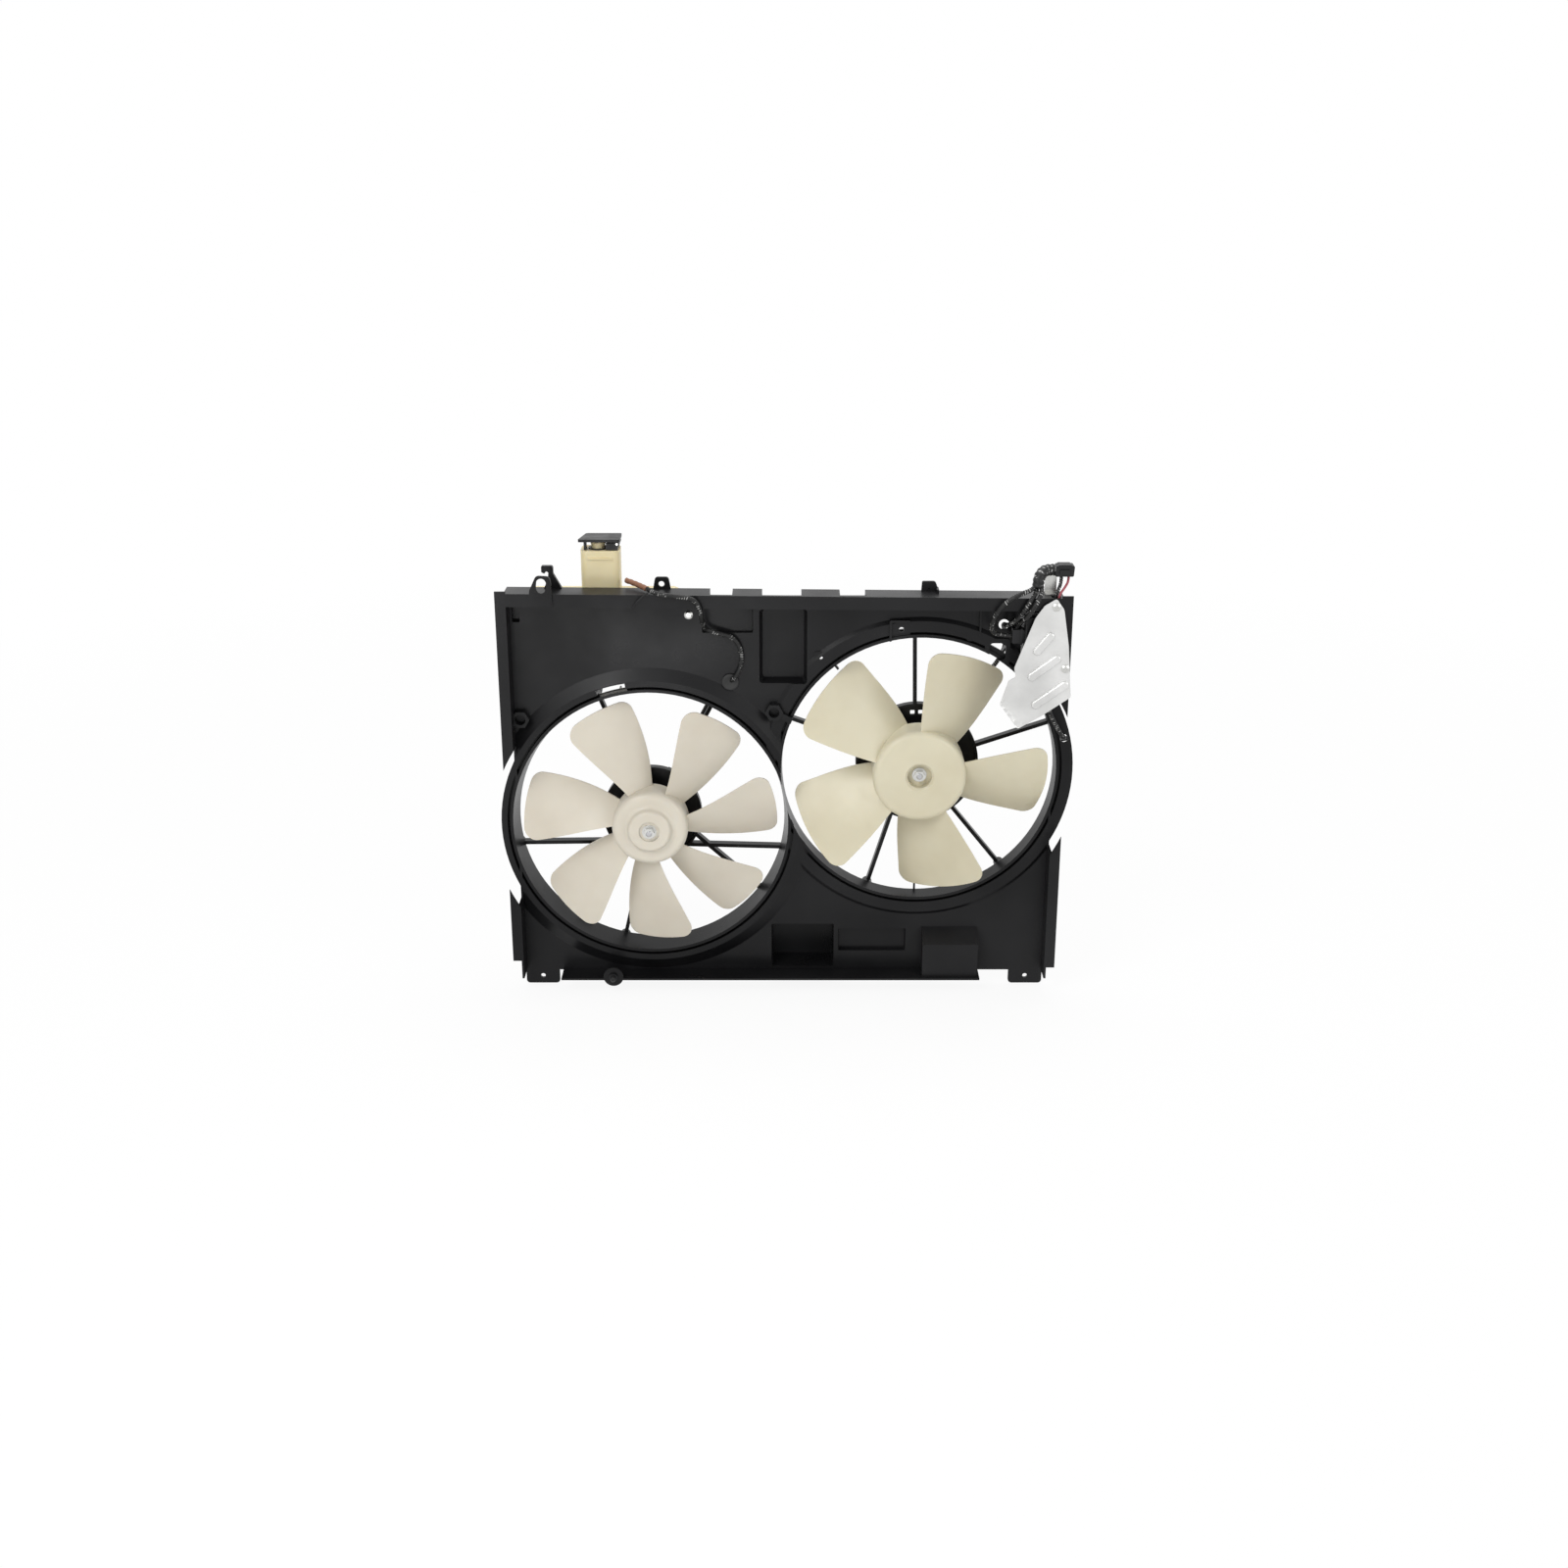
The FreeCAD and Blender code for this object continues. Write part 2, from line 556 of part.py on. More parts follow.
def mounting_holes():
    deep = MOUNT_TAB_THICKNESS + 1
    holes = [drum(side * MOUNT_SPACING / 2, 0, MOUNT_HOLE_RADIUS, -1, deep) for side in (-1, 1)]
    holes.append(drum(PIN_X, PIN_Z, PIN_RADIUS, -TRAY_DEPTH - 3, WALL - TRAY_DEPTH + 1))
    return holes


def upper_lugs():
    """The slotted lug, the wiring hook behind it, the drilled lug and the blank lug."""
    foot = rail_top(UPPER_LUG_X) - RAIL_LIP + 2
    x = UPPER_LUG_X
    lug = plate([(x - 17, foot), (x + 14, foot), (x + 12, UPPER_LUG_Z + 12),
                 (x - 6, UPPER_LUG_Z + 13), (x - 15, UPPER_LUG_Z - 6)],
                -TRAY_DEPTH - WALL, -TRAY_DEPTH + 0.5, [0, 0, 6, 6, 4])
    lug = lug.cut(slotted(x, UPPER_LUG_Z, UPPER_LUG_SLOT, UPPER_LUG_SLOT_WIDTH,
                          -TRAY_DEPTH - WALL - 1, -TRAY_DEPTH + 1, 84))
    shelf = rail_top(x) - 1
    hook = plate([(x - 1, shelf), (x + 23, shelf), (x + 12, shelf + 20), (x + 12, shelf + 30),
                  (x - 3, shelf + 30), (x - 3, shelf + 22), (x + 1, shelf + 20),
                  (x + 3, shelf + 23), (x + 6, shelf + 22), (x + 5, shelf + 12)],
                 -WALL, RAIL_BACK, [0, 0, 3, 3, 1.5, 1.5, 0.8, 0.8, 1.5, 3])
    x = SMALL_LUG_X
    shelf = rail_top(x) - 1
    small = plate([(x - 11, shelf), (x + 12, shelf), (x + 9, SMALL_LUG_Z + 9),
                   (x - 8, SMALL_LUG_Z + 9)], 0, RAIL_BACK, [0, 0, 4, 4])
    small = small.cut(drum(x, SMALL_LUG_Z, SMALL_LUG_HOLE, -1, RAIL_BACK + 1))
    x = BLANK_LUG_X
    shelf = rail_top(x) - 1
    blank = plate([(x - 11, shelf), (x + 12, shelf), (x + 7, BLANK_LUG_Z + 1),
                   (x - 10, BLANK_LUG_Z + 1)], 0, RAIL_BACK, [0, 0, 4, 2])
    fold = box(x + 8, x + 11, -12, RAIL_BACK, shelf, BLANK_LUG_Z - 7)
    dimple = drum(x - 1, BLANK_LUG_Z - 9, 1.6, -1, 1.5)
    return [lug, hook, small, blank.cut(dimple), fold]


def recess(body, place, depth, draft, radius):
    """Sinks a pocket of moulded wall into the panel, away from the radiator."""
    x0, x1, z0, z1 = place
    shell = frustum(x0 - WALL, x1 + WALL, z0 - WALL, z1 + WALL, 0, depth + WALL, draft, radius)
    room = frustum(x0, x1, z0, z1, 0, depth, draft, radius)
    mouth = block(x0, x1, -LEFT_RIM_RAISE - 1, 0, z0, z1, radius)
    return body.fuse(shell).cut([room, mouth])


def raised_pocket(body, place, height, top_slope):
    """Raises a hollow box towards the radiator, open at the back, with a sloping top."""
    x0, x1, z0, z1 = place

    def wedge(gap):
        back = WALL + BACK_RIB + 1 if gap else 0
        outline = [Vector(x0 + gap, back, z0), Vector(x0 + gap, gap - height, z0),
                   Vector(x0 + gap, gap - height, z1 - top_slope - gap),
                   Vector(x0 + gap, 0, z1 - gap), Vector(x0 + gap, back, z1 - gap)]
        if not gap:
            outline.pop()
        face = Part.Face(Part.makePolygon(outline + outline[:1]))
        return face.extrude(Vector(x1 - x0 - 2 * gap, 0, 0))
    return body.fuse(wedge(0)).cut(wedge(WALL))


def panel_details(body):
    """Pockets, wiring channel, bosses and holes, as they lie on the panel."""
    for place, depth, draft, radius in (CENTRE_RECESS, LOWER_RECESS, STRIP_RECESS, LOOM_RECESS,
                                        CORNER_RECESS):
        body = recess(body, place, depth, draft, radius)
    body = raised_pocket(body, RAISED_POCKET, TRAY_DEPTH - 6, RAISED_POCKET_SLOPE)
    frame_x, frame_z, frame_hole = FRAME_HOLE
    small_x, small_z, small_hole = SMALL_HOLE
    ring_x, ring_z = RIMMED_DIMPLE
    x0, x1, z0, z1 = WINDOW
    edge = WINDOW_BORDER
    frame = block(frame_x - 15.5, frame_x + 11.5, -7, 0.5, frame_z - 16, frame_z + 13, 2)
    frame = frame.cut(block(frame_x - 12.5, frame_x + 11.5, -8, -2, frame_z - 16, frame_z + 10, 1.5))
    stubs = [frame, ring(ring_x, ring_z, 3.5, 6.5, -3, 0.5),
             block(small_x - 8, small_x + 8, -2, 0.5, small_z - 8, small_z + 8, 2),
             block(x0 - edge, x1 + edge, -4, 0.5, z0 - edge, z1 + edge, 6)]
    rib_x = ring_x + 11
    stubs.append(box(rib_x, rib_x + 2.5, -5, 0.5, ring_z + 1, rail_top(rib_x) - WALL))
    for x, z in HEX_BOSSES:
        stubs.append(hexagon(x, z, HEX_BOSS_ACROSS, -HEX_BOSS_HEIGHT, 0.5))
    x, z = HEX_BOSSES[0]
    arm = box(x + HEX_BOSS_BORE, x + BOSS_ARM_LENGTH + HEX_BOSS_BORE, 2 - HEX_BOSS_HEIGHT, 0.5,
              z - 4, z + 4)
    stubs.append(about(arm, x, z, BOSS_ARM_ANGLE))
    body = body.fuse(stubs)
    holes = [drum(frame_x, frame_z, frame_hole, -9, WALL + 1),
             drum(small_x, small_z, small_hole, -4, WALL + 1),
             block(x0, x1, -6, WALL + 1, z0, z1, 5)]
    for x, z in HEX_BOSSES:
        holes.append(drum(x, z, HEX_BOSS_BORE, -HEX_BOSS_HEIGHT - 1, -1))
    return body.cut(holes)


def tank_bosses():
    """Posts behind the panel that the ears of the overflow tank stand on."""
    return [drum(x, z, 6, WALL / 2, TANK_FRONT) for x, z in TANK_EARS]


def tank_boss_holes():
    """One post is drilled from behind, the other right through for a screw from the front."""
    (left_x, left_z), (right_x, right_z) = TANK_EARS
    radius = TANK_SCREW_RADIUS + RUNNING_FIT
    return [drum(left_x, left_z, radius, WALL, TANK_FRONT + 1),
            drum(right_x, right_z, radius, -1, TANK_FRONT + 1)]


def shield_post_holes():
    return [drum(x, z, SHIELD_SCREW_RADIUS + RUNNING_FIT, SHIELD_FRONT, 2 * WALL - TRAY_DEPTH)
            for x, z in shield_screw_places()]


def loom_holes():
    return [drum(x, z, radius, -RIGHT_RIM_RAISE - 1, WALL + BACK_RIB + 3)
            for x, z, radius in LOOM_HOLES]


def duct_stubs(fan):
    """Short ribs that reach in from the back edge of the duct."""
    stubs = []
    for angle, length, width in fan.stubs:
        outer = fan.x + fan.duct_rear + 2 * WALL
        stub = box(fan.x + fan.duct_rear - length, outer, fan.duct_end,
                   fan.duct_end + STUB_DEPTH, fan.z - width / 2, fan.z + width / 2)
        root = box(fan.x + fan.duct_rear - 1, outer, fan.duct_end - STUB_DEPTH, fan.duct_end,
                   fan.z - width / 2, fan.z + width / 2)
        outside = root.cut(duct_bore(fan))
        stubs.append(about(stub.fuse(outside), fan.x, fan.z, angle))
    return stubs


def back_ribs():
    """Stiffening ribs on the engine side of the panel."""
    count = int(TRAY_HALF_WIDTH // BACK_RIB_PITCH)
    top = RAIL_NOTCH_FLOOR - 5
    ribs = []
    for i in range(-count, count + 1):
        x = i * BACK_RIB_PITCH
        ribs.append(box(x - BACK_RIB_THICKNESS / 2, x + BACK_RIB_THICKNESS / 2, WALL / 2,
                        WALL + BACK_RIB, TRAY_BOTTOM + 1, top))
    body = fuse(ribs)
    for fan in FANS:
        body = body.cut(drum(fan.x, fan.z, fan.rim - WALL / 2, -1, WALL + BACK_RIB + 1))
    return body


def shroud():
    half = TRAY_HALF_WIDTH + WALL
    tray = box(-half, half, -20, 20, TRAY_BOTTOM, RAIL_TOP_RIGHT)
    parts = [panel_sheet(), side_walls(), top_rail(), tray_floor(), back_ribs()]
    parts += mounting_tabs()
    parts += upper_lugs()
    parts += shield_posts() + controller_bosses() + tank_bosses()
    for fan in FANS:
        parts.append(duct(fan))
        parts.append(rim_slope(fan).common(tray))
        parts += duct_gussets(fan) + stay_bosses(fan)
    body = parts[0].fuse(parts[1:])
    body = body.cut(rail_cuts() + mounting_holes() + [duct_window(LEFT)])
    body = panel_details(body)
    body = body.cut(stay_boss_holes(LEFT) + stay_boss_holes(RIGHT) + controller_boss_holes()
                    + tank_boss_holes() + shield_post_holes() + loom_holes())
    body = body.cut([duct_bore(fan) for fan in FANS])
    return body.fuse(duct_stubs(LEFT) + duct_stubs(RIGHT))


# Motor stays


def stay_foot(fan, degrees):
    """The centre of a stay's foot, on the boss behind the duct."""
    return polar(fan, fan.duct_rear + FOOT_OFFSET, degrees)


def stay_bosses(fan):
    """The screw bosses behind the duct that carry the feet of the motor stay."""
    return [drum(*stay_foot(fan, at_duct), FOOT_BOSS_RADIUS, GROOVE_FLOOR + WALL / 2, fan.duct_end)
            for _, at_duct in fan.spokes]


def stay_boss_holes(fan):
    return [drum(*stay_foot(fan, at_duct), FOOT_SCREW_RADIUS + SEAT_GAP / 3,
                 fan.duct_end - FOOT_SCREW_LENGTH, fan.duct_end + 1) for _, at_duct in fan.spokes]


def spoke(fan, at_motor, at_duct):
    """A straight bar from the motor ring to its foot."""
    x0, z0 = polar(fan, fan.stay - STAY_RIM_WALL / 2, at_motor)
    x1, z1 = stay_foot(fan, at_duct)
    length = math.hypot(x1 - x0, z1 - z0)
    bar = box(x0, x0 + length, SPOKE_FRONT, SPOKE_REAR, z0 - SPOKE_WIDTH / 2, z0 + SPOKE_WIDTH / 2)
    return about(bar, x0, z0, math.degrees(math.atan2(z1 - z0, x1 - x0)))


def motor_screw_places(fan):
    return [polar(fan, fan.can + MOTOR_EAR / 2 + 0.5, angle) for angle in MOTOR_EAR_ANGLES]


def motor_stay(fan):
    plate_back = STAY_FRONT + STAY_THICKNESS
    bore = fan.can + SEAT_GAP
    web = ring(fan.x, fan.z, bore, fan.stay, STAY_FRONT, plate_back)
    rim = ring(fan.x, fan.z, fan.stay - STAY_RIM_WALL, fan.stay, SPOKE_FRONT, SPOKE_REAR)
    collar = ring(fan.x, fan.z, bore, bore + 2.0, STAY_FRONT, SPOKE_REAR)
    parts = [web, rim, collar]
    for at_motor, at_duct in fan.spokes:
        parts.append(spoke(fan, at_motor, at_duct))
        parts.append(drum(*stay_foot(fan, at_duct), FOOT_RADIUS, fan.duct_end, SPOKE_REAR))
    body = parts[0].fuse(parts[1:])
    holes = [drum(x, z, MOTOR_SCREW_RADIUS + RUNNING_FIT, STAY_FRONT - 1, plate_back + 1)
             for x, z in motor_screw_places(fan)]
    for _, at_duct in fan.spokes:
        holes.append(drum(*stay_foot(fan, at_duct), FOOT_SCREW_RADIUS + SEAT_GAP / 3,
                          fan.duct_end - 1, SPOKE_REAR + 1))
    holes.append(drum(fan.x, fan.z, bore, SPOKE_FRONT - 1, SPOKE_REAR + 1))
    holes += [block(x - 3, x + 3, STAY_FRONT - 1, plate_back + 1, z - 3, z + 3, 1)
              for x, z in (polar(fan, fan.stay - 13, angle) for angle in (96, 87))
              if fan is RIGHT]
    return body.cut(holes).removeSplitter()


def foot_screws(fan):
    screws = []
    for _, at_duct in fan.spokes:
        x, z = stay_foot(fan, at_duct)
        screws.append(pan_screw(x, z, FOOT_SCREW_RADIUS, FOOT_SCREW_HEAD, SPOKE_REAR, 1,
                                SPOKE_REAR - fan.duct_end + FOOT_SCREW_LENGTH - 2))
    return Part.Compound(screws)


def pan_screw(x, z, radius, head, seat, side, length):
    """A pan-head screw along Y: its head stands on the seat, towards the given side."""
    height = 2.6
    profile = [(0, seat - side * length), (radius, seat - side * length), (radius, seat),
               (head, seat), (head, seat + side * height * 0.5),
               (head * 0.6, seat + side * height), (0, seat + side * height)]
    body = turned(x, z, profile)
    cross = [box(x - head * 0.5, x + head * 0.5, seat + side * height - 0.7,
                 seat + side * height + 0.7, z - 0.5, z + 0.5),
             box(x - 0.5, x + 0.5, seat + side * height - 0.7,
                 seat + side * height + 0.7, z - head * 0.5, z + head * 0.5)]
    return body.cut(cross)


# Fan wheels


def blade_slab(span, pitch, centre, camber):
    """A twisted, cambered slab, lofted through flat sections across the blade's radius.

    Each value runs from hub to tip; a section's tangent lies along Z and its pitch leans it in Y.
    """
    count = 5
    sections = []
    for i in range(count):
        share = i / (count - 1)
        x = span[0] + share * (span[1] - span[0])
        lean = math.radians(pitch[0] + share * (pitch[1] - pitch[0]))
        middle_z = x * math.sin(math.radians(centre[0] + share * (centre[1] - centre[0])))
        middle_y = centre[2] + share * (centre[3] - centre[2])
        half = 40 + 40 * share
        bow = camber * (0.5 + 0.5 * share)
        along = Vector(0, -math.sin(lean), math.cos(lean))
        across = Vector(0, math.cos(lean), math.sin(lean))
        middle = Vector(x, middle_y, middle_z)
        front = [middle.sub(along * half).add(across * bow), middle.sub(across * bow),
                 middle.add(along * half).add(across * bow)]
        back = [point.add(across * BLADE_THICKNESS) for point in front]
        edges = [Part.Arc(*front).toShape(), Part.LineSegment(front[2], back[2]).toShape(),
                 Part.Arc(*reversed(back)).toShape(), Part.LineSegment(back[0], front[0]).toShape()]
        sections.append(Part.Wire(edges))
    return Part.makeLoft(sections, True, False)


def blade_outline(fan, trailing, leading, tip_radius):
    """The blade as seen from the front: two swept edges and a round tip, as a prism."""
    count = 6
    root = fan.hub - HUB_WALL / 2

    def edge(angle):
        points = []
        for i in range(count):
            share = i / (count - 1)
            radius = root + share * (tip_radius - root)
            a = math.radians(angle(share))
            points.append(Vector(radius * math.cos(a), -60, radius * math.sin(a)))
        curve = Part.BSplineCurve()
        curve.interpolate(points)
        return curve.toShape(), points[0], points[-1]

    low, low_root, low_tip = edge(trailing)
    high, high_root, high_tip = edge(leading)
    middle = math.radians((trailing(1) + leading(1)) / 2)
    crown = Vector(tip_radius * math.cos(middle), -60, tip_radius * math.sin(middle))
    tip = Part.Arc(low_tip, crown, high_tip).toShape()
    base = Part.LineSegment(high_root, low_root).toShape()
    prism = Part.Face(Part.Wire(Part.__sortEdges__([low, tip, high, base]))).extrude(Vector(0, 120, 0))
    corners = [e for e in prism.Edges if abs(e.BoundBox.YLength - 120) < 0.1
               and math.hypot(e.BoundBox.Center.x, e.BoundBox.Center.z) > tip_radius - 1]
    return prism.makeFillet(BLADE_CORNER, corners)


def left_blade():
    span = (LEFT_HUB_RADIUS - 14.5, TIP_RADIUS + 9)
    slab = blade_slab(span, LEFT_PITCH, (-10.5, 0.5, -7, 1.5), 2.5)
    outline = blade_outline(LEFT, lambda t: -28 + 12.5 * t, lambda t: 7.5 + 16 * t - 8 * t * t,
                            TIP_RADIUS)
    return slab.common(outline)


def right_blade():
    span = (RIGHT_HUB_RADIUS - 21.5, TIP_RADIUS + 9)
    slab = blade_slab(span, RIGHT_PITCH, (-6, 0, -8, -4), 3.5)
    outline = blade_outline(RIGHT, lambda t: -35 + 24 * t - 9 * t * t, lambda t: 23 - 3 * t,
                            TIP_RADIUS)
    return slab.common(outline)


def hub(fan):
    """The hollow hub that covers the motor, with the seat for the nut and a central boss."""
    inner = fan.hub - HUB_WALL
    face = fan.hub_face
    bore = SHAFT_RADIUS + RUNNING_FIT
    if fan is LEFT:
        top = face - DOME_HEIGHT
        profile = [(fan.hub, HUB_REAR), (fan.hub, face), (DOME_RADIUS + 4, face), (DOME_RADIUS, top),
                   (NUT_SOCKET, top), (NUT_SOCKET, top + 2), (bore, top + 2), (bore, SHAFT_SHOULDER),
                   (HUB_BOSS, SHAFT_SHOULDER), (HUB_BOSS, top + 2 + HUB_WALL),
                   (DOME_RADIUS - HUB_WALL, top + HUB_WALL), (DOME_RADIUS, face + HUB_WALL),
                   (inner, face + HUB_WALL), (inner, HUB_REAR)]
        radii = [0, 9, 6, 5, 0.6, 0, 0, 0, 0, 0, 0, 0, 6, 0]
    else:
        seat = RIGHT_NUT_SEAT
        profile = [(fan.hub, HUB_REAR), (fan.hub, face), (NUT_WELL + 3, face), (NUT_WELL, face + 3),
                   (NUT_WELL, seat), (bore, seat), (bore, SHAFT_SHOULDER),
                   (HUB_BOSS, SHAFT_SHOULDER), (HUB_BOSS, seat + HUB_WALL),
                   (NUT_WELL + HUB_WALL, seat + HUB_WALL), (NUT_WELL + HUB_WALL, face + HUB_WALL),
                   (inner, face + HUB_WALL), (inner, HUB_REAR)]
        radii = [0, 8, 0, 0, 0, 0, 0, 0, 0, 0, 0, 5, 0]
    return turned(0, 0, profile, radii)


def fan_wheel(fan):
    blade = left_blade() if fan is LEFT else right_blade()
    cup = hub(fan)
    room = drum(0, 0, fan.hub - HUB_WALL, fan.hub_face + HUB_WALL, HUB_REAR + 40)
    blade = blade.cut(drum(0, 0, fan.hub - HUB_WALL / 2, -80, 80))
    wheel = cup.fuse([about(blade, 0, 0, angle) for angle in fan.blades])
    fins = around(box(HUB_BOSS + 12, fan.hub - HUB_WALL + 0.5, fan.hub_face + HUB_WALL - 0.5,
                      CAN_FRONT - 5, -1, 1), 0, 0, 8)
    wheel = wheel.fuse([fin.common(room) for fin in fins])
    wheel.translate(Vector(fan.x, 0, fan.z))
    return wheel


# Motors


def nut_seat(fan):
    return fan.hub_face - DOME_HEIGHT + 2 if fan is LEFT else RIGHT_NUT_SEAT


def fan_washer(fan):
    seat = nut_seat(fan)
    return ring(fan.x, fan.z, SHAFT_RADIUS + 0.2, WASHER_RADIUS, seat - WASHER_THICKNESS, seat)


def fan_nut(fan):
    seat = nut_seat(fan) - WASHER_THICKNESS
    nut = hexagon(fan.x, fan.z, NUT_ACROSS_FLATS, seat - NUT_HEIGHT, seat)
    flange = ring(fan.x, fan.z, SHAFT_RADIUS, NUT_ACROSS_FLATS / 2 + 1.5, seat - 1.2, seat)
    return nut.fuse(flange).cut(drum(fan.x, fan.z, SHAFT_RADIUS, seat - 20, seat + 1))


def motor_shaft(fan):
    tip = nut_seat(fan) - WASHER_THICKNESS - NUT_HEIGHT - 1.8
    return turned(fan.x, fan.z, [
        (0, tip), (SHAFT_RADIUS - 0.8, tip), (SHAFT_RADIUS, tip + 0.8),
        (SHAFT_RADIUS, SHAFT_SHOULDER), (SHAFT_BODY, SHAFT_SHOULDER), (SHAFT_BODY, SHAFT_END),
        (0, SHAFT_END)])


def core_radius(fan):
    return fan.can - CAN_WALL - SEAT_GAP / 3 - MAGNET_THICKNESS - AIR_GAP


def armature_core(fan):
    radius = core_radius(fan)
    core = ring(fan.x, fan.z, SHAFT_BODY, radius, CORE_FRONT, CORE_REAR)
    slot = drum(fan.x + radius - SLOT_DEPTH, fan.z, SLOT_RADIUS, CORE_FRONT - 1, CORE_REAR + 1)
    mouth = box(fan.x + radius - SLOT_DEPTH, fan.x + radius + 1, CORE_FRONT - 1, CORE_REAR + 1,
                fan.z - 0.9, fan.z + 0.9)
    return core.cut(around(slot.fuse(mouth), fan.x, fan.z, CORE_SLOTS))


def armature_winding(fan):
    centre = core_radius(fan) - SLOT_DEPTH
    wire = drum(fan.x + centre, fan.z, SLOT_RADIUS - SEAT_GAP, CORE_FRONT - 2, CORE_REAR + 2)
    ends = []
    for start, end in ((CORE_FRONT - 7, CORE_FRONT - SEAT_GAP), (CORE_REAR + SEAT_GAP, CORE_REAR + 6)):
        profile = [(centre - 7, start), (centre + 4.2, start), (centre + 4.2, end), (centre - 7, end)]
        ends.append(turned(fan.x, fan.z, profile))
    return ends[0].fuse(ends[1:] + around(wire, fan.x, fan.z, CORE_SLOTS))


def commutator(fan):
    body = ring(fan.x, fan.z, SHAFT_BODY, COMMUTATOR_RADIUS, COMMUTATOR_FRONT, COMMUTATOR_REAR)
    cut = box(fan.x + COMMUTATOR_RADIUS - 1.4, fan.x + COMMUTATOR_RADIUS + 1, COMMUTATOR_FRONT - 1,
              COMMUTATOR_REAR + 1, fan.z - 0.3, fan.z + 0.3)
    return body.cut(around(cut, fan.x, fan.z, CORE_SLOTS))


def motor_can(fan):
    wall = fan.can - CAN_WALL
    bush = BUSH_RADIUS + RUNNING_FIT
    hole = SHAFT_BODY + 1
    boss = BUSH_RADIUS + 3.5
    can = turned(fan.x, fan.z, [
        (hole, CAN_FRONT - 3), (boss, CAN_FRONT - 3), (boss, CAN_FRONT), (fan.can, CAN_FRONT),
        (fan.can, CAN_REAR), (wall, CAN_REAR), (wall, CAN_FRONT + CAN_WALL),
        (boss - 0.8, CAN_FRONT + CAN_WALL), (boss - 0.8, FRONT_BUSH_REAR),
        (bush, FRONT_BUSH_REAR), (bush, CAN_FRONT - 1.5), (hole, CAN_FRONT - 1.5)],
        [0, 0, 0, 5, 0, 0, 0, 0, 0, 0, 0, 0])
    ears = []
    for angle in MOTOR_EAR_ANGLES:
        ear = plate([(fan.x + fan.can - 1, fan.z - 10), (fan.x + fan.can + MOTOR_EAR, fan.z - 6),
                     (fan.x + fan.can + MOTOR_EAR, fan.z + 6), (fan.x + fan.can - 1, fan.z + 10)],
                    STAY_FRONT - MOTOR_EAR_THICKNESS, STAY_FRONT, [0, 5, 5, 0])
        ears.append(about(ear, fan.x, fan.z, angle))
    can = can.fuse(ears)
    deep = drum(fan.x, fan.z, wall, CAN_FRONT + 8, CAN_REAR + 1)
    holes = [drum(x, z, MOTOR_SCREW_RADIUS + RUNNING_FIT, STAY_FRONT - 10, STAY_FRONT + 1)
             for x, z in motor_screw_places(fan)]
    return can.cut([deep] + holes)


def motor_magnets(fan):
    outer = fan.can - CAN_WALL - SEAT_GAP / 3
    shell = ring(fan.x, fan.z, outer - MAGNET_THICKNESS, outer, CORE_FRONT - 2, CORE_REAR + 2)
    reach = 2 * fan.can
    side = plate([(fan.x, fan.z), (fan.x + reach, fan.z - 1.6 * reach),
                  (fan.x + reach, fan.z + 1.6 * reach)], CORE_FRONT - 3, CORE_REAR + 3)
    return Part.Compound([shell.common(about(side, fan.x, fan.z, a)) for a in (0, 180)])


def motor_bushes(fan):
    inner = SHAFT_BODY + RUNNING_FIT
    return Part.Compound([
        ring(fan.x, fan.z, inner, BUSH_RADIUS, CAN_FRONT - 1.5, FRONT_BUSH_REAR),
        ring(fan.x, fan.z, inner, BUSH_RADIUS, REAR_BUSH_FRONT, REAR_BUSH_FRONT + 8)])


def brush_box(fan, y0, y1, inner, outer, half):
    """Two blocks on opposite sides of the shaft."""
    block_ = box(fan.x + inner, fan.x + outer, y0, y1, fan.z - half, fan.z + half)
    return [about(block_, fan.x, fan.z, angle) for angle in (35, 215)]


def motor_brushes(fan):
    touch = drum(fan.x, fan.z, COMMUTATOR_RADIUS + RUNNING_FIT, 0, CAN_REAR)
    blocks = brush_box(fan, BRUSH_FRONT, BRUSH_FRONT + 5, COMMUTATOR_RADIUS - 2,
                       COMMUTATOR_RADIUS + 12, 3)
    return Part.Compound([one.cut(touch) for one in blocks])


def brush_card(fan):
    """The insulating card with the two brush holders."""
    outer = fan.can - CAN_WALL - SEAT_GAP / 3
    back = BRUSH_FRONT + 5 + SEAT_GAP
    card = ring(fan.x, fan.z, COMMUTATOR_RADIUS + 3, outer, back, back + CARD_THICKNESS)
    inner = COMMUTATOR_RADIUS + 2
    sleeves = brush_box(fan, BRUSH_FRONT - 1.5, back, inner, COMMUTATOR_RADIUS + 14, 4.5)
    room = brush_box(fan, BRUSH_FRONT - SEAT_GAP / 3, back, inner - 1,
                     COMMUTATOR_RADIUS + 12 + SEAT_GAP / 3, 3 + SEAT_GAP / 3)
    return card.fuse(sleeves).cut(room)


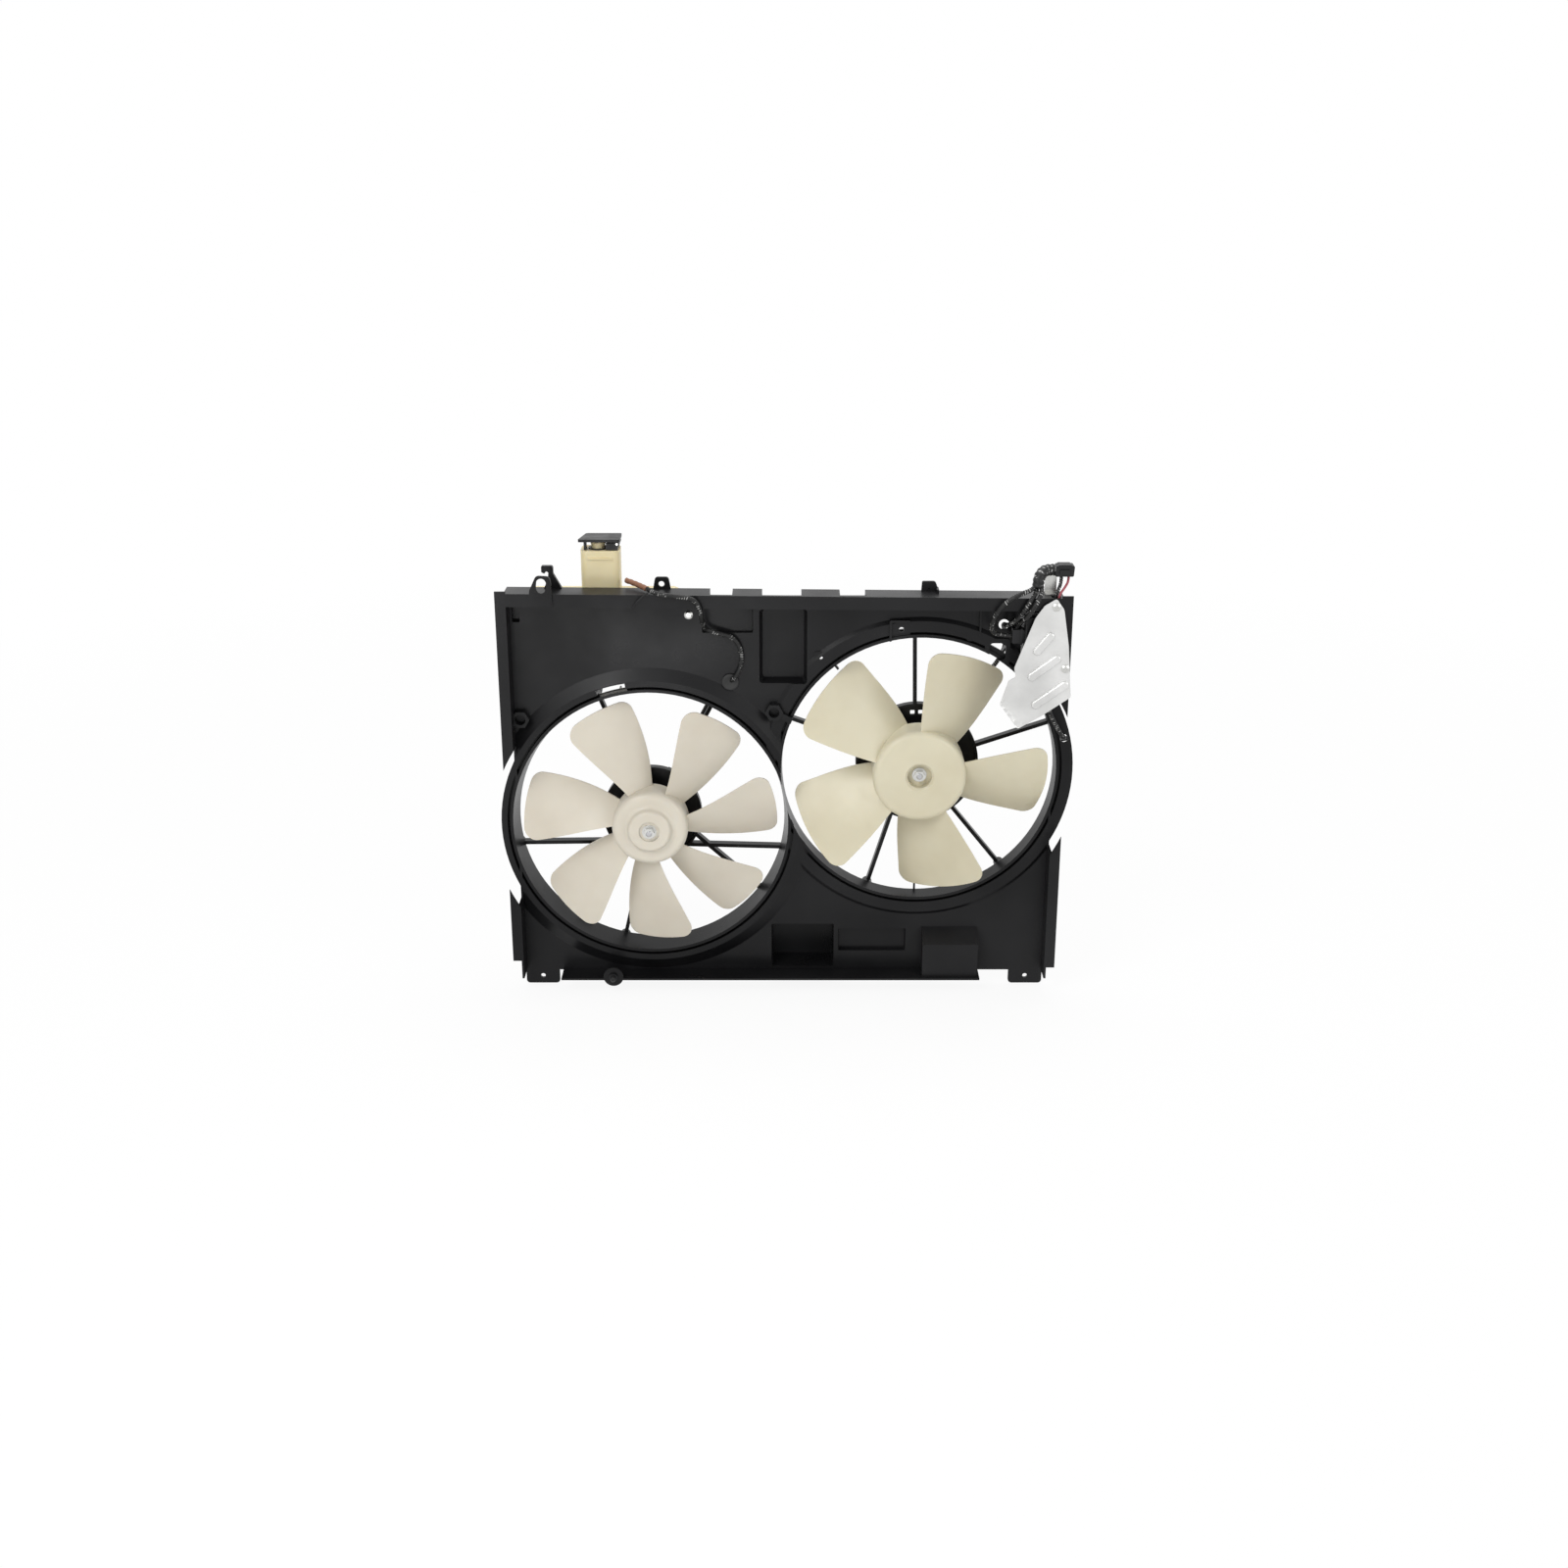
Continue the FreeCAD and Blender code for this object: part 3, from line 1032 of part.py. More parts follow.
def motor_end_cap(fan):
    spigot = fan.can - CAN_WALL - SEAT_GAP / 3
    bush = BUSH_RADIUS + RUNNING_FIT
    card_back = BRUSH_FRONT + 5 + SEAT_GAP + CARD_THICKNESS
    rear = REAR_BUSH_FRONT + 8
    cap = turned(fan.x, fan.z, [
        (0, rear + 4), (BUSH_RADIUS + 4, rear + 4), (BUSH_RADIUS + 4, CAN_REAR + 3),
        (fan.can, CAN_REAR + 3), (fan.can, CAN_REAR), (spigot, CAN_REAR), (spigot, CAN_REAR - 4),
        (spigot - 3, CAN_REAR - 4), (spigot - 3, CAN_REAR), (BUSH_RADIUS + 2.5, CAN_REAR),
        (BUSH_RADIUS + 2.5, REAR_BUSH_FRONT), (bush, REAR_BUSH_FRONT), (bush, rear),
        (SHAFT_BODY + 1, rear), (SHAFT_BODY + 1, rear + 2), (0, rear + 2)],
        [0, 2, 0, 1.5, 0, 0, 0, 0, 0, 0, 0, 0, 0, 0, 0, 0])
    post = drum(fan.x + fan.can - 12, fan.z, 2.5, card_back, CAN_REAR + 0.5)
    return cap.fuse(around(post, fan.x, fan.z, 3, 60))


def motor_screws(fan):
    seat = STAY_FRONT - MOTOR_EAR_THICKNESS
    return Part.Compound([
        pan_screw(x, z, MOTOR_SCREW_RADIUS, 4.4, seat, -1,
                  MOTOR_EAR_THICKNESS + STAY_THICKNESS + 3) for x, z in motor_screw_places(fan)])


def motor_plug(fan, angle):
    """The connector on the back of the motor ring, its mouth away from the shaft."""
    back = STAY_FRONT + STAY_THICKNESS
    inner = fan.can + 3.2
    body = block(fan.x + inner, fan.x + inner + PLUG_LENGTH, back, back + 15,
                 fan.z - 9, fan.z + 9, 1.5)
    collar = block(fan.x + inner + 5, fan.x + inner + 8, back, back + 16.5,
                   fan.z - 10.2, fan.z + 10.2, 1.5)
    latch = box(fan.x + inner + 9, fan.x + inner + PLUG_LENGTH - 2, back + 14.5, back + 17,
                fan.z - 3, fan.z + 3)
    return about(fuse([body, collar, latch]), fan.x, fan.z, angle)


def plug_mouth(fan, angle):
    x, z = polar(fan, fan.can + 3.2 + PLUG_LENGTH, angle)
    return Vector(x, STAY_FRONT + STAY_THICKNESS + 8, z)


# Overflow tank


def upright(points, z0, z1, radius):
    """A column across Z with an outline of (x, y) points."""
    flat = Part.Face(corner_wire([Vector(x, y, z0) for x, y in points], radius))
    return flat.extrude(Vector(0, 0, z1 - z0))


def tank_shell(gap):
    body = block(TANK_LEFT + gap, TANK_RIGHT - gap, TANK_FRONT + gap, TANK_REAR - gap,
                 TANK_BOTTOM + gap, TANK_TOP - gap, 12 - gap)
    body = body.cut(drum(LEFT.x, LEFT.z, LEFT.rim + TANK_CLEARANCE + gap, 0, 90))
    neck = upright(rectangle(NECK_LEFT + gap, NECK_RIGHT - gap, TANK_FRONT + gap,
                             NECK_REAR - gap), TANK_TOP - 20, NECK_TOP - SPOUT_HEIGHT - gap,
                   8 - gap)
    return body.fuse(neck)


def tank_ears():
    ears = []
    for x, z in TANK_EARS:
        near = TANK_LEFT + 3 if x < TANK_LEFT else TANK_RIGHT - 3
        side = -1 if x < TANK_LEFT else 1
        low = min(near, x + side * 8)
        high = max(near, x + side * 8)
        ears.append(block(low, high, TANK_FRONT, TANK_FRONT + 4, z - 9, z + 9, 4))
    return ears


def reservoir_tank():
    outer = tank_shell(0).fuse(tank_ears())
    seam = block(TANK_LEFT - 2, TANK_RIGHT + 2, 34, 36, TANK_BOTTOM - 2, TANK_TOP + 2, 13)
    seam = seam.cut(drum(LEFT.x, LEFT.z, LEFT.rim + TANK_CLEARANCE - 1.5, 0, 90))
    ledge_z = NECK_TOP - SPOUT_HEIGHT - NECK_LEDGE
    ledge = box(NECK_LEFT + 10, NECK_RIGHT - 9, TANK_FRONT - 2, TANK_FRONT + 0.5, ledge_z,
                ledge_z + 1.6)
    outer = outer.fuse([seam, ledge])
    spout = Part.makeCylinder(SPOUT_RADIUS, SPOUT_HEIGHT + 3,
                              Vector(SPOUT_X, SPOUT_Y, NECK_TOP - SPOUT_HEIGHT - 3))
    bead = Part.makeCylinder(SPOUT_RADIUS + 0.8, 1.6, Vector(SPOUT_X, SPOUT_Y, NECK_TOP - 2.6))
    bore = Part.makeCylinder(SPOUT_RADIUS - SPOUT_WALL, SPOUT_HEIGHT + 20,
                             Vector(SPOUT_X, SPOUT_Y, NECK_TOP - SPOUT_HEIGHT - 8))
    tank = outer.fuse([spout, bead]).cut([tank_shell(TANK_WALL), bore])
    holes = [drum(x, z, TANK_SCREW_RADIUS + RUNNING_FIT, TANK_FRONT - 1, TANK_FRONT + 5)
             for x, z in TANK_EARS]
    return tank.cut(holes)


def knuckle(y0, y1):
    return Part.makeCylinder(KNUCKLE_RADIUS, y1 - y0, Vector(HINGE_X, y0, HINGE_Z), Vector(0, 1, 0))


def neck_collar():
    """The black ring round the spout and the hinge block that it holds on the neck."""
    seat = NECK_TOP - SPOUT_HEIGHT
    ring_ = Part.makeCylinder(SPOUT_RADIUS + 3.4, 1.6, Vector(SPOUT_X, SPOUT_Y, seat))
    block_ = box(HINGE_X - 14, HINGE_X - 1, HINGE_FRONT, HINGE_REAR, seat, HINGE_Z + 1)
    post = box(HINGE_X - 2, HINGE_X + 1, HINGE_FRONT, HINGE_REAR, seat, HINGE_Z)
    spout = Part.makeCylinder(SPOUT_RADIUS + 0.8 + SEAT_GAP, 30,
                              Vector(SPOUT_X, SPOUT_Y, seat - 5))
    gap = box(HINGE_X - 5, HINGE_X + 5, HINGE_FRONT + 7, HINGE_REAR - 7,
              HINGE_Z - KNUCKLE_RADIUS - 1, HINGE_Z + 5)
    pin = Part.makeCylinder(HINGE_PIN_RADIUS, 60, Vector(HINGE_X, HINGE_FRONT - 10, HINGE_Z),
                            Vector(0, 1, 0))
    body = ring_.fuse([block_, post, knuckle(HINGE_FRONT, HINGE_REAR)])
    return body.cut([spout, gap, pin])


def hinge_pin():
    return Part.makeCylinder(HINGE_PIN_RADIUS, HINGE_REAR - HINGE_FRONT,
                             Vector(HINGE_X, HINGE_FRONT, HINGE_Z), Vector(0, 1, 0))


def reservoir_cap():
    """The lid: a flat plate with a slanted pull edge, a latch finger and a hinge knuckle."""
    front = TANK_FRONT - 2
    rear = NECK_REAR + 1
    lid = upright([(NECK_LEFT - 2.5, front), (HINGE_X + 4, front), (HINGE_X + 4, rear),
                   (NECK_LEFT + 5, rear)], LID_BOTTOM, LID_BOTTOM + LID_THICKNESS, [2, 3, 3, 4])
    finger = box(NECK_LEFT + 4.4, NECK_LEFT + 7.4, SPOUT_Y - 12, SPOUT_Y,
                 NECK_TOP - SPOUT_HEIGHT + SEAT_GAP, LID_BOTTOM + 1)
    front_knuckle = HINGE_FRONT + 7 + SEAT_GAP
    rear_knuckle = HINGE_REAR - 7 - SEAT_GAP
    arm = box(HINGE_X - 3, HINGE_X + 3, front_knuckle, rear_knuckle, HINGE_Z, LID_BOTTOM + 1)
    lid = lid.fuse([finger, knuckle(front_knuckle, rear_knuckle), arm])
    return lid.cut(Part.makeCylinder(HINGE_PIN_RADIUS + RUNNING_FIT, 80,
                                     Vector(HINGE_X, HINGE_FRONT - 10, HINGE_Z), Vector(0, 1, 0)))


def cap_seal():
    outer = Part.makeCylinder(SPOUT_RADIUS + 0.8, SEAL_THICKNESS,
                              Vector(SPOUT_X, SPOUT_Y, NECK_TOP + SEAT_GAP))
    return outer.cut(Part.makeCylinder(SPOUT_RADIUS - SPOUT_WALL, SEAL_THICKNESS + 2,
                                       Vector(SPOUT_X, SPOUT_Y, NECK_TOP - 1)))


# Controller and heat shield


def on_shield(dx, dz):
    """A place on the shield, from the side wall and the top of the rail."""
    return TRAY_HALF_WIDTH + dx, RAIL_TOP_RIGHT + dz


def shield_screw_places():
    return [on_shield(dx, dz) for dx, dz in SHIELD_SCREW_OFFSETS]


def heat_shield():
    back = SHIELD_FRONT + SHIELD_THICKNESS
    outline = [on_shield(dx, dz) for dx, dz in SHIELD_OUTLINE]
    flat = plate(outline, SHIELD_FRONT, back, SHIELD_CORNERS)
    for dx, dz, length, degrees in SHIELD_BEADS:
        x, z = on_shield(dx, dz)
        bead = slotted(x, z, length, 11, SHIELD_FRONT - 3, back, degrees)
        bead = bead.makeFillet(2.2, [e for e in bead.Edges
                                     if e.BoundBox.YMax < SHIELD_FRONT - 2.9])
        room = slotted(x, z, length - 2 * SHIELD_THICKNESS, 11 - 2 * SHIELD_THICKNESS,
                       SHIELD_FRONT - 2, back + 1, degrees)
        flat = flat.fuse(bead).cut(room)
    holes = [drum(x, z, SHIELD_SCREW_RADIUS + RUNNING_FIT, SHIELD_FRONT - 1, back + 1)
             for x, z in shield_screw_places()]
    return flat.cut(holes)


def shield_posts():
    """Where the shield is screwed down: one post on the top rail, one on the side flange."""
    back = SHIELD_FRONT + SHIELD_THICKNESS
    return [drum(x, z, 5, back, WALL - TRAY_DEPTH) for x, z in shield_screw_places()]


def shield_screws():
    return Part.Compound([pan_screw(x, z, SHIELD_SCREW_RADIUS, 5.5, SHIELD_FRONT, -1, 7)
                          for x, z in shield_screw_places()])


def controller_base():
    """The finned aluminium base of the fan controller, with its two ears."""
    body = block(CONTROLLER_LEFT, CONTROLLER_RIGHT, CONTROLLER_SEAT - 9, CONTROLLER_SEAT,
                 CONTROLLER_BOTTOM, CONTROLLER_TOP, 3)
    ears = [block(x - 7, x + 7, CONTROLLER_SEAT - 4, CONTROLLER_SEAT, z - 7, z + 7, 4)
            for x, z in CONTROLLER_SCREWS]
    step = (CONTROLLER_TOP - CONTROLLER_BOTTOM) / 9
    grooves = [box(CONTROLLER_LEFT - 1, CONTROLLER_LEFT + 5, CONTROLLER_SEAT - 7, CONTROLLER_SEAT - 2,
                   CONTROLLER_BOTTOM + i * step - 2, CONTROLLER_BOTTOM + i * step + 2)
               for i in range(1, 9)]
    holes = [drum(x, z, CONTROLLER_SCREW_RADIUS + RUNNING_FIT, -20, 1) for x, z in CONTROLLER_SCREWS]
    return body.cut(grooves).fuse(ears).cut(holes)


def controller_lid():
    back = CONTROLLER_SEAT - 9
    lid = block(CONTROLLER_LEFT + 1.5, CONTROLLER_RIGHT - 1.5, CONTROLLER_FRONT, back,
                CONTROLLER_BOTTOM + 1.5, CONTROLLER_TOP - 1.5, 4)
    edges = [e for e in lid.Edges if e.BoundBox.YMax < CONTROLLER_FRONT + 0.1]
    return lid.makeFillet(2.5, edges)


def controller_screws():
    return Part.Compound([pan_screw(x, z, CONTROLLER_SCREW_RADIUS, 4, CONTROLLER_SEAT - 4, -1, 8)
                          for x, z in CONTROLLER_SCREWS])


def controller_bosses():
    return [drum(x, z, 5.5, CONTROLLER_SEAT, WALL / 2) for x, z in CONTROLLER_SCREWS]


def controller_boss_holes():
    return [drum(x, z, CONTROLLER_SCREW_RADIUS + SEAT_GAP / 3, CONTROLLER_SEAT - 1, WALL - 1)
            for x, z in CONTROLLER_SCREWS]


def controller_plug():
    left = CONTROLLER_LEFT - CONTROLLER_PLUG_LENGTH
    back = CONTROLLER_SEAT - 9.5
    low = CONTROLLER_PLUG_BOTTOM
    high = low + CONTROLLER_PLUG_HEIGHT
    body = block(left, CONTROLLER_LEFT + 1.5, back - 13, back, low, high, 2)
    lip = block(left + 10, left + 13, back - 14.5, back - 1, low - 1.5, high + 1.5, 1.2)
    return body.fuse(lip)


def controller_plug_entries():
    """Where looms meet the plug: the middle of its end, and its top."""
    left = CONTROLLER_LEFT - CONTROLLER_PLUG_LENGTH
    middle = CONTROLLER_SEAT - 9.5 - 6.5
    end = Vector(left, middle, CONTROLLER_PLUG_BOTTOM + CONTROLLER_PLUG_HEIGHT / 2)
    top = Vector(left + 6.5, middle, CONTROLLER_PLUG_BOTTOM + CONTROLLER_PLUG_HEIGHT)
    return end, top


# Upper right bracket and connector


def connector_bracket():
    """A bright steel tongue that stands on the rail and carries the main connector."""
    foot_z = rail_top(TONGUE_RIGHT) + 0.6
    foot = box(TONGUE_LEFT, TONGUE_RIGHT, TONGUE_FRONT, TONGUE_BACK, foot_z,
               foot_z + TONGUE_THICKNESS)
    tongue = box(TONGUE_LEFT, TONGUE_RIGHT, TONGUE_BACK - TONGUE_THICKNESS, TONGUE_BACK, foot_z,
                 foot_z + TONGUE_HEIGHT)
    return fuse([foot, tongue])


def main_connector():
    """The main connector, clipped in front of the tongue, with its latch and its cover."""
    back = TONGUE_BACK - TONGUE_THICKNESS
    x = TRAY_HALF_WIDTH
    z = RAIL_TOP_RIGHT
    body = plate([(x - 9, z + 26), (x + 14, z + 26), (x + 15, z + 40), (x - 9, z + 40)],
                 back - 17, back, [1, 2, 2, 3])
    cover = block(x - 6, x + 11, back - 18.5, back - 2, z + 37.5, z + 41.5, 1.5)
    ridge = block(x - 4, x + 9, back - 19, back - 16, z + 29, z + 35, 1)
    return fuse([body, cover, ridge])


# Wiring


def loom(points, radius, name):
    """A round loom along a hand-picked route: straight runs joined by tangent arcs."""
    corners = []
    for before, here, after in zip(points, points[1:], points[2:]):
        back = before.sub(here)
        ahead = after.sub(here)
        shorter = min(back.Length, ahead.Length)
        half_turn = (math.pi - back.getAngle(ahead)) / 2
        setback = 0.45 * shorter
        bend = setback / math.tan(half_turn)
        back = back.normalize()
        ahead = ahead.normalize()
        bisector = back.add(ahead).normalize()
        middle = here.add(bisector * (math.hypot(bend, setback) - bend))
        corners.append((here.add(back * setback), middle, here.add(ahead * setback), bend))
    edges = []
    start = points[0]
    for first, middle, last, bend in corners:
        edges.append(Part.LineSegment(start, first).toShape())
        edges.append(Part.Arc(first, middle, last).toShape())
        start = last
    edges.append(Part.LineSegment(start, points[-1]).toShape())
    path = Part.Wire(edges)
    direction = points[1].sub(points[0])
    section = Part.Wire([Part.makeCircle(radius, points[0], direction)])
    tube = path.makePipeShell([section], True, False)
    expected = math.pi * radius * radius * path.Length
    print(name, "length", round(path.Length, 1), "bends", [round(c[3]) for c in corners],
          "volume", round(tube.Volume / expected, 4))
    return tube


NODES = {}


def add(name, shape):
    NODES[name] = shape


def panel_screw():
    """The screw from the front that reaches through the panel into the ear of the tank."""
    x, z = TANK_EARS[1]
    return pan_screw(x, z, TANK_SCREW_RADIUS, 5.5, 0, -1, TANK_FRONT + 4 + 4)


def tank_screw():
    x, z = TANK_EARS[0]
    return pan_screw(x, z, TANK_SCREW_RADIUS, 5.5, TANK_FRONT + 4, 1, TANK_FRONT)


def locating_pin():
    """A headed pin in the lower tab; its flange seats on the boss."""
    seat = -TRAY_DEPTH - PIN_BOSS
    radius = PIN_RADIUS - RUNNING_FIT
    return turned(PIN_X, PIN_Z, [
        (0, seat - 9), (radius - 1.2, seat - 9), (radius, seat - 7.5), (radius, seat - 1.6),
        (radius + 2, seat - 1.6), (radius + 2, seat), (radius, seat), (radius, WALL - TRAY_DEPTH),
        (0, WALL - TRAY_DEPTH)])


def route(points, *last):
    """A route's points, followed by the mouth of the plug that it runs to, if it has one."""
    return [Vector(*point) for point in points] + list(last)


def fan_nodes(fan):
    plug_angle = LEFT_PLUG_ANGLE if fan is LEFT else RIGHT_PLUG_ANGLE
    add(f"{fan.name}_fan_wheel", fan_wheel(fan))
    add(f"{fan.name}_fan_washer", fan_washer(fan))
    add(f"{fan.name}_fan_nut", fan_nut(fan))
    add(f"{fan.name}_motor_shaft", motor_shaft(fan))
    add(f"{fan.name}_armature_core", armature_core(fan))
    add(f"{fan.name}_armature_winding", armature_winding(fan))
    add(f"{fan.name}_commutator", commutator(fan))
    add(f"{fan.name}_motor_can", motor_can(fan))
    add(f"{fan.name}_motor_magnets", motor_magnets(fan))
    add(f"{fan.name}_motor_bushes", motor_bushes(fan))
    add(f"{fan.name}_motor_brushes", motor_brushes(fan))
    add(f"{fan.name}_brush_card", brush_card(fan))
    add(f"{fan.name}_motor_end_cap", motor_end_cap(fan))
    add(f"{fan.name}_motor_screws", motor_screws(fan))
    add(f"{fan.name}_motor_stay", motor_stay(fan))
    add(f"{fan.name}_stay_screws", foot_screws(fan))
    add(f"{fan.name}_motor_plug", motor_plug(fan, plug_angle))


def main():
    os.makedirs("parts", exist_ok=True)
    add("shroud", shroud())
    for fan in FANS:
        fan_nodes(fan)
    add("reservoir_tank", reservoir_tank())
    add("reservoir_neck_collar", neck_collar())
    add("reservoir_cap", reservoir_cap())
    add("reservoir_cap_seal", cap_seal())
    add("reservoir_hinge_pin", hinge_pin())
    add("panel_screw", panel_screw())
    add("tank_screw", tank_screw())
    add("locating_pin", locating_pin())
    add("heat_shield", heat_shield())
    add("shield_screws", shield_screws())
    add("controller_base", controller_base())
    add("controller_lid", controller_lid())
    add("controller_screws", controller_screws())
    add("controller_plug", controller_plug())
    add("connector_bracket", connector_bracket())
    add("main_connector", main_connector())
    plug_end, plug_top = controller_plug_entries()
    looms = (
        ("left_motor_loom", route(LEFT_MOTOR_ROUTE, plug_mouth(LEFT, LEFT_PLUG_ANGLE)), LOOM_RADIUS),
        ("right_motor_loom", route(RIGHT_MOTOR_ROUTE, plug_mouth(RIGHT, RIGHT_PLUG_ANGLE)),
         LOOM_RADIUS),
        ("signal_loom", route(SIGNAL_ROUTE, plug_end), LOOM_RADIUS),
        ("controller_loom", route(CONTROLLER_ROUTE, plug_top), LOOM_RADIUS),
        ("main_loom", route(TRUNK_ROUTE), TRUNK_RADIUS),
        ("side_loom", route(SIDE_ROUTE), SIDE_LOOM_RADIUS),
        ("dark_lead", route(DARK_LEAD_ROUTE), LEAD_RADIUS + 0.8),
        ("red_lead", route(RED_LEAD_ROUTE), LEAD_RADIUS))
    for name, points, radius in looms:
        add(name, loom(points, radius, name))
    for name, shape in NODES.items():
        shape.exportStep(f"parts/{name}.step")
        print(name, "solids", len(shape.Solids), "faces", len(shape.Faces), "valid", shape.isValid())


main()
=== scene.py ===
import bpy
import math
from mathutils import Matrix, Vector
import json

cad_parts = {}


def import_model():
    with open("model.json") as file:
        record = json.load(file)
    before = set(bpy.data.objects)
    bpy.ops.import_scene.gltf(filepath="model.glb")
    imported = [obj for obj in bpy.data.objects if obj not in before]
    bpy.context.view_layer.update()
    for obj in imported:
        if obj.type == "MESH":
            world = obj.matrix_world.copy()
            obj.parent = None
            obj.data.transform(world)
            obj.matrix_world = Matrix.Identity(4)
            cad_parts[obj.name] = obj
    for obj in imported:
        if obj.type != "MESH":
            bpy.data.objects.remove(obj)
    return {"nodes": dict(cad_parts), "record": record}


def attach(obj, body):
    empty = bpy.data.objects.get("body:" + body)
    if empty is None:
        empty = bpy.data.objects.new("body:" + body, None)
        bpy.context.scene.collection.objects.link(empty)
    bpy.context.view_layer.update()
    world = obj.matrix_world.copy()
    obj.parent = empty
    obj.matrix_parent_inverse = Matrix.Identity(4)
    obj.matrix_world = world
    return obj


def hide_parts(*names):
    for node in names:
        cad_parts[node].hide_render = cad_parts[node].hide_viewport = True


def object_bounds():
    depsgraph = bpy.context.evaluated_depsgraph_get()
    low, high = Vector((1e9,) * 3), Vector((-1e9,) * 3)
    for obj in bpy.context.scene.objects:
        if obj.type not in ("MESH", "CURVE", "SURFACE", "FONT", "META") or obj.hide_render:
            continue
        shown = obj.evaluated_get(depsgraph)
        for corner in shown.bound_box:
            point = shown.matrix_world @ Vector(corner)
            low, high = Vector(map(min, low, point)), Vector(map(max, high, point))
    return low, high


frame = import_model()
cad_low, cad_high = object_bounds()

NODES = frame["nodes"]
MM = 0.001

# The camera, found by fitting the photograph: it looks down on the part from in front of it.
CAMERA_TARGET = Vector((0.0, 0.0, 0.281))
CAMERA_DISTANCE = 2.5395
CAMERA_ELEVATION = math.radians(20.0)
CAMERA_LENS = 43.85
CAMERA_SENSOR = 36.0

# Wiring routes as (x, y, z) in millimetres; the looms and leads repeat those of the part's source
LEFT_MOTOR_ROUTE = ((-203, 10, 556), (-188, 0, 553.5), (-174, -22, 552.6), (-160, -38.5, 550),
                    (-136, -40.5, 547.5), (-115, -40, 545), (-106, -40.5, 532),
                    (-105, -37.5, 518.5), (-103, -20, 505), (-100, -7, 495), (-84, -6, 489.5),
                    (-65, -6, 485), (-56, -6.5, 470), (-54.5, -7, 451), (-60, -9, 436),
                    (-68, -3, 425.5), (-73, 14, 417), (-80, 34, 409), (-90, 49, 396),
                    (-103, 51, 375), (-117, 50, 347), (-130, 48, 322), (-148.3, 46, 282.8))
RIGHT_MOTOR_ROUTE = ((321, -29.8, 559), (319, -36, 552), (314, -40.5, 545), (308, -43, 535.5),
                     (301, -41, 523.5), (293, -32, 511), (286, -16, 503), (284, 3, 500),
                     (286, 22, 492), (291, 40, 477), (293, 51, 458), (286, 54, 438),
                     (270, 53, 418), (248, 51, 403), (226, 48.5, 392), (211.2, 46, 366.7))
SIGNAL_ROUTE = ((316.8, -36, 559), (312.5, -39.5, 555.5), (303, -43, 553), (290.5, -44.5, 547.5),
                (278, -43.5, 538), (268.5, -40, 524), (264, -33, 509), (265.5, -25, 497),
                (276, -20.5, 491.5), (292, -20, 491))
CONTROLLER_ROUTE = ((325.2, -36, 559), (325.5, -40, 552), (321.5, -44, 544), (314.5, -45.5, 532),
                    (308, -43, 520.5), (302, -35, 513), (299.2, -26, 508.5), (298.5, -20, 500))
TRUNK_ROUTE = ((344, -16, 576), (334, -18, 577), (326, -26, 575), (321, -34, 568),
               (321, -34, 559))
SIDE_ROUTE = ((337, -22, 441.5), (338, -23, 424), (340, -22, 405), (345, -20, 388),
              (353, -17, 372), (361, -14, 358), (367, -9, 349), (369, 6, 345.5))
DARK_LEAD_ROUTE = ((352.5, -15, 569), (352.5, -18.5, 560), (347.5, -23, 550), (344, -24, 538),
                   (342.5, -24, 517.5))
RED_LEAD_ROUTE = ((362, -13, 569), (362, -17, 562), (356.5, -22, 554), (349.6, -26.8, 546.5),
                  (348.2, -26.8, 532), (346.9, -25, 517.2))
LOOSE_END_ROUTE = ((-171.3, -36, 552), (-177, -38, 548.5), (-182.5, -38.2, 543.6),
                   (-188, -37.5, 538.5), (-191.6, -36, 531.6))
RED_STRAND_ROUTE = ((335.5, -25, 441.5), (336.5, -26.2, 428), (337.5, -26.3, 414),
                    (340, -25, 403), (344, -22.5, 391))

# Wiring sizes, in millimetres
LOOM_RADIUS = 3.2
TRUNK_RADIUS = 7.6
SIDE_LOOM_RADIUS = 3.0
DARK_LEAD_RADIUS = 2.4
RED_LEAD_RADIUS = 1.6
THIN_WIRE_RADIUS = 0.9
TAPE_THICKNESS = 0.5
RIB_PITCH = 3.0
RIB_DEPTH = 0.5
TRUNK_RIB_PITCH = 6.0
TRUNK_RIB_DEPTH = 0.8
LEAD_RIB_DEPTH = 0.4
TAPE_PITCH = 9.0
RING_STEP = 0.75  # between one ring of a sleeve's points and the next
LOOM_HOLE = (-70, 423)  # x and z of the left motor loom's hole in the panel
LOOM_HOLE_RADIUS = 9

# The shield's crumpled corner: the way to it, and where on that way the creases start and are full
CRUMPLE_WAY = (-0.8, 0, -0.6)
CRUMPLE_START = -0.475
CRUMPLE_FULL = -0.445
CREASE_SCALE = 75

# The studio, in metres and watts
FLOOR_REACH = 8.0
SHADOW_NEAR = 0.3  # the floor keeps its shadow inside this distance, and loses it by the next
SHADOW_FAR = 2.5
GLOW_NEAR = 0.9
GLOW_FAR = 1.0
SKY_LIGHT = 0.46
MIDDLE = (0, 0, 0.3)
LAMPS = (  # name, place, what it points at, size, power
    ("key", (-1.6, -2.2, 2.6), MIDDLE, (1.6, 1.6), 48),
    ("fill", (2.4, -1.8, 1.4), MIDDLE, (1.6, 1.6), 20),
    ("top", (0.2, 0.6, 2.8), MIDDLE, (2.2, 1.2), 32),
    ("low", (-0.35, -1.5, 0.14), (-0.2, 0, 0.5), (0.5, 0.22), 1.8),
)


# Materials


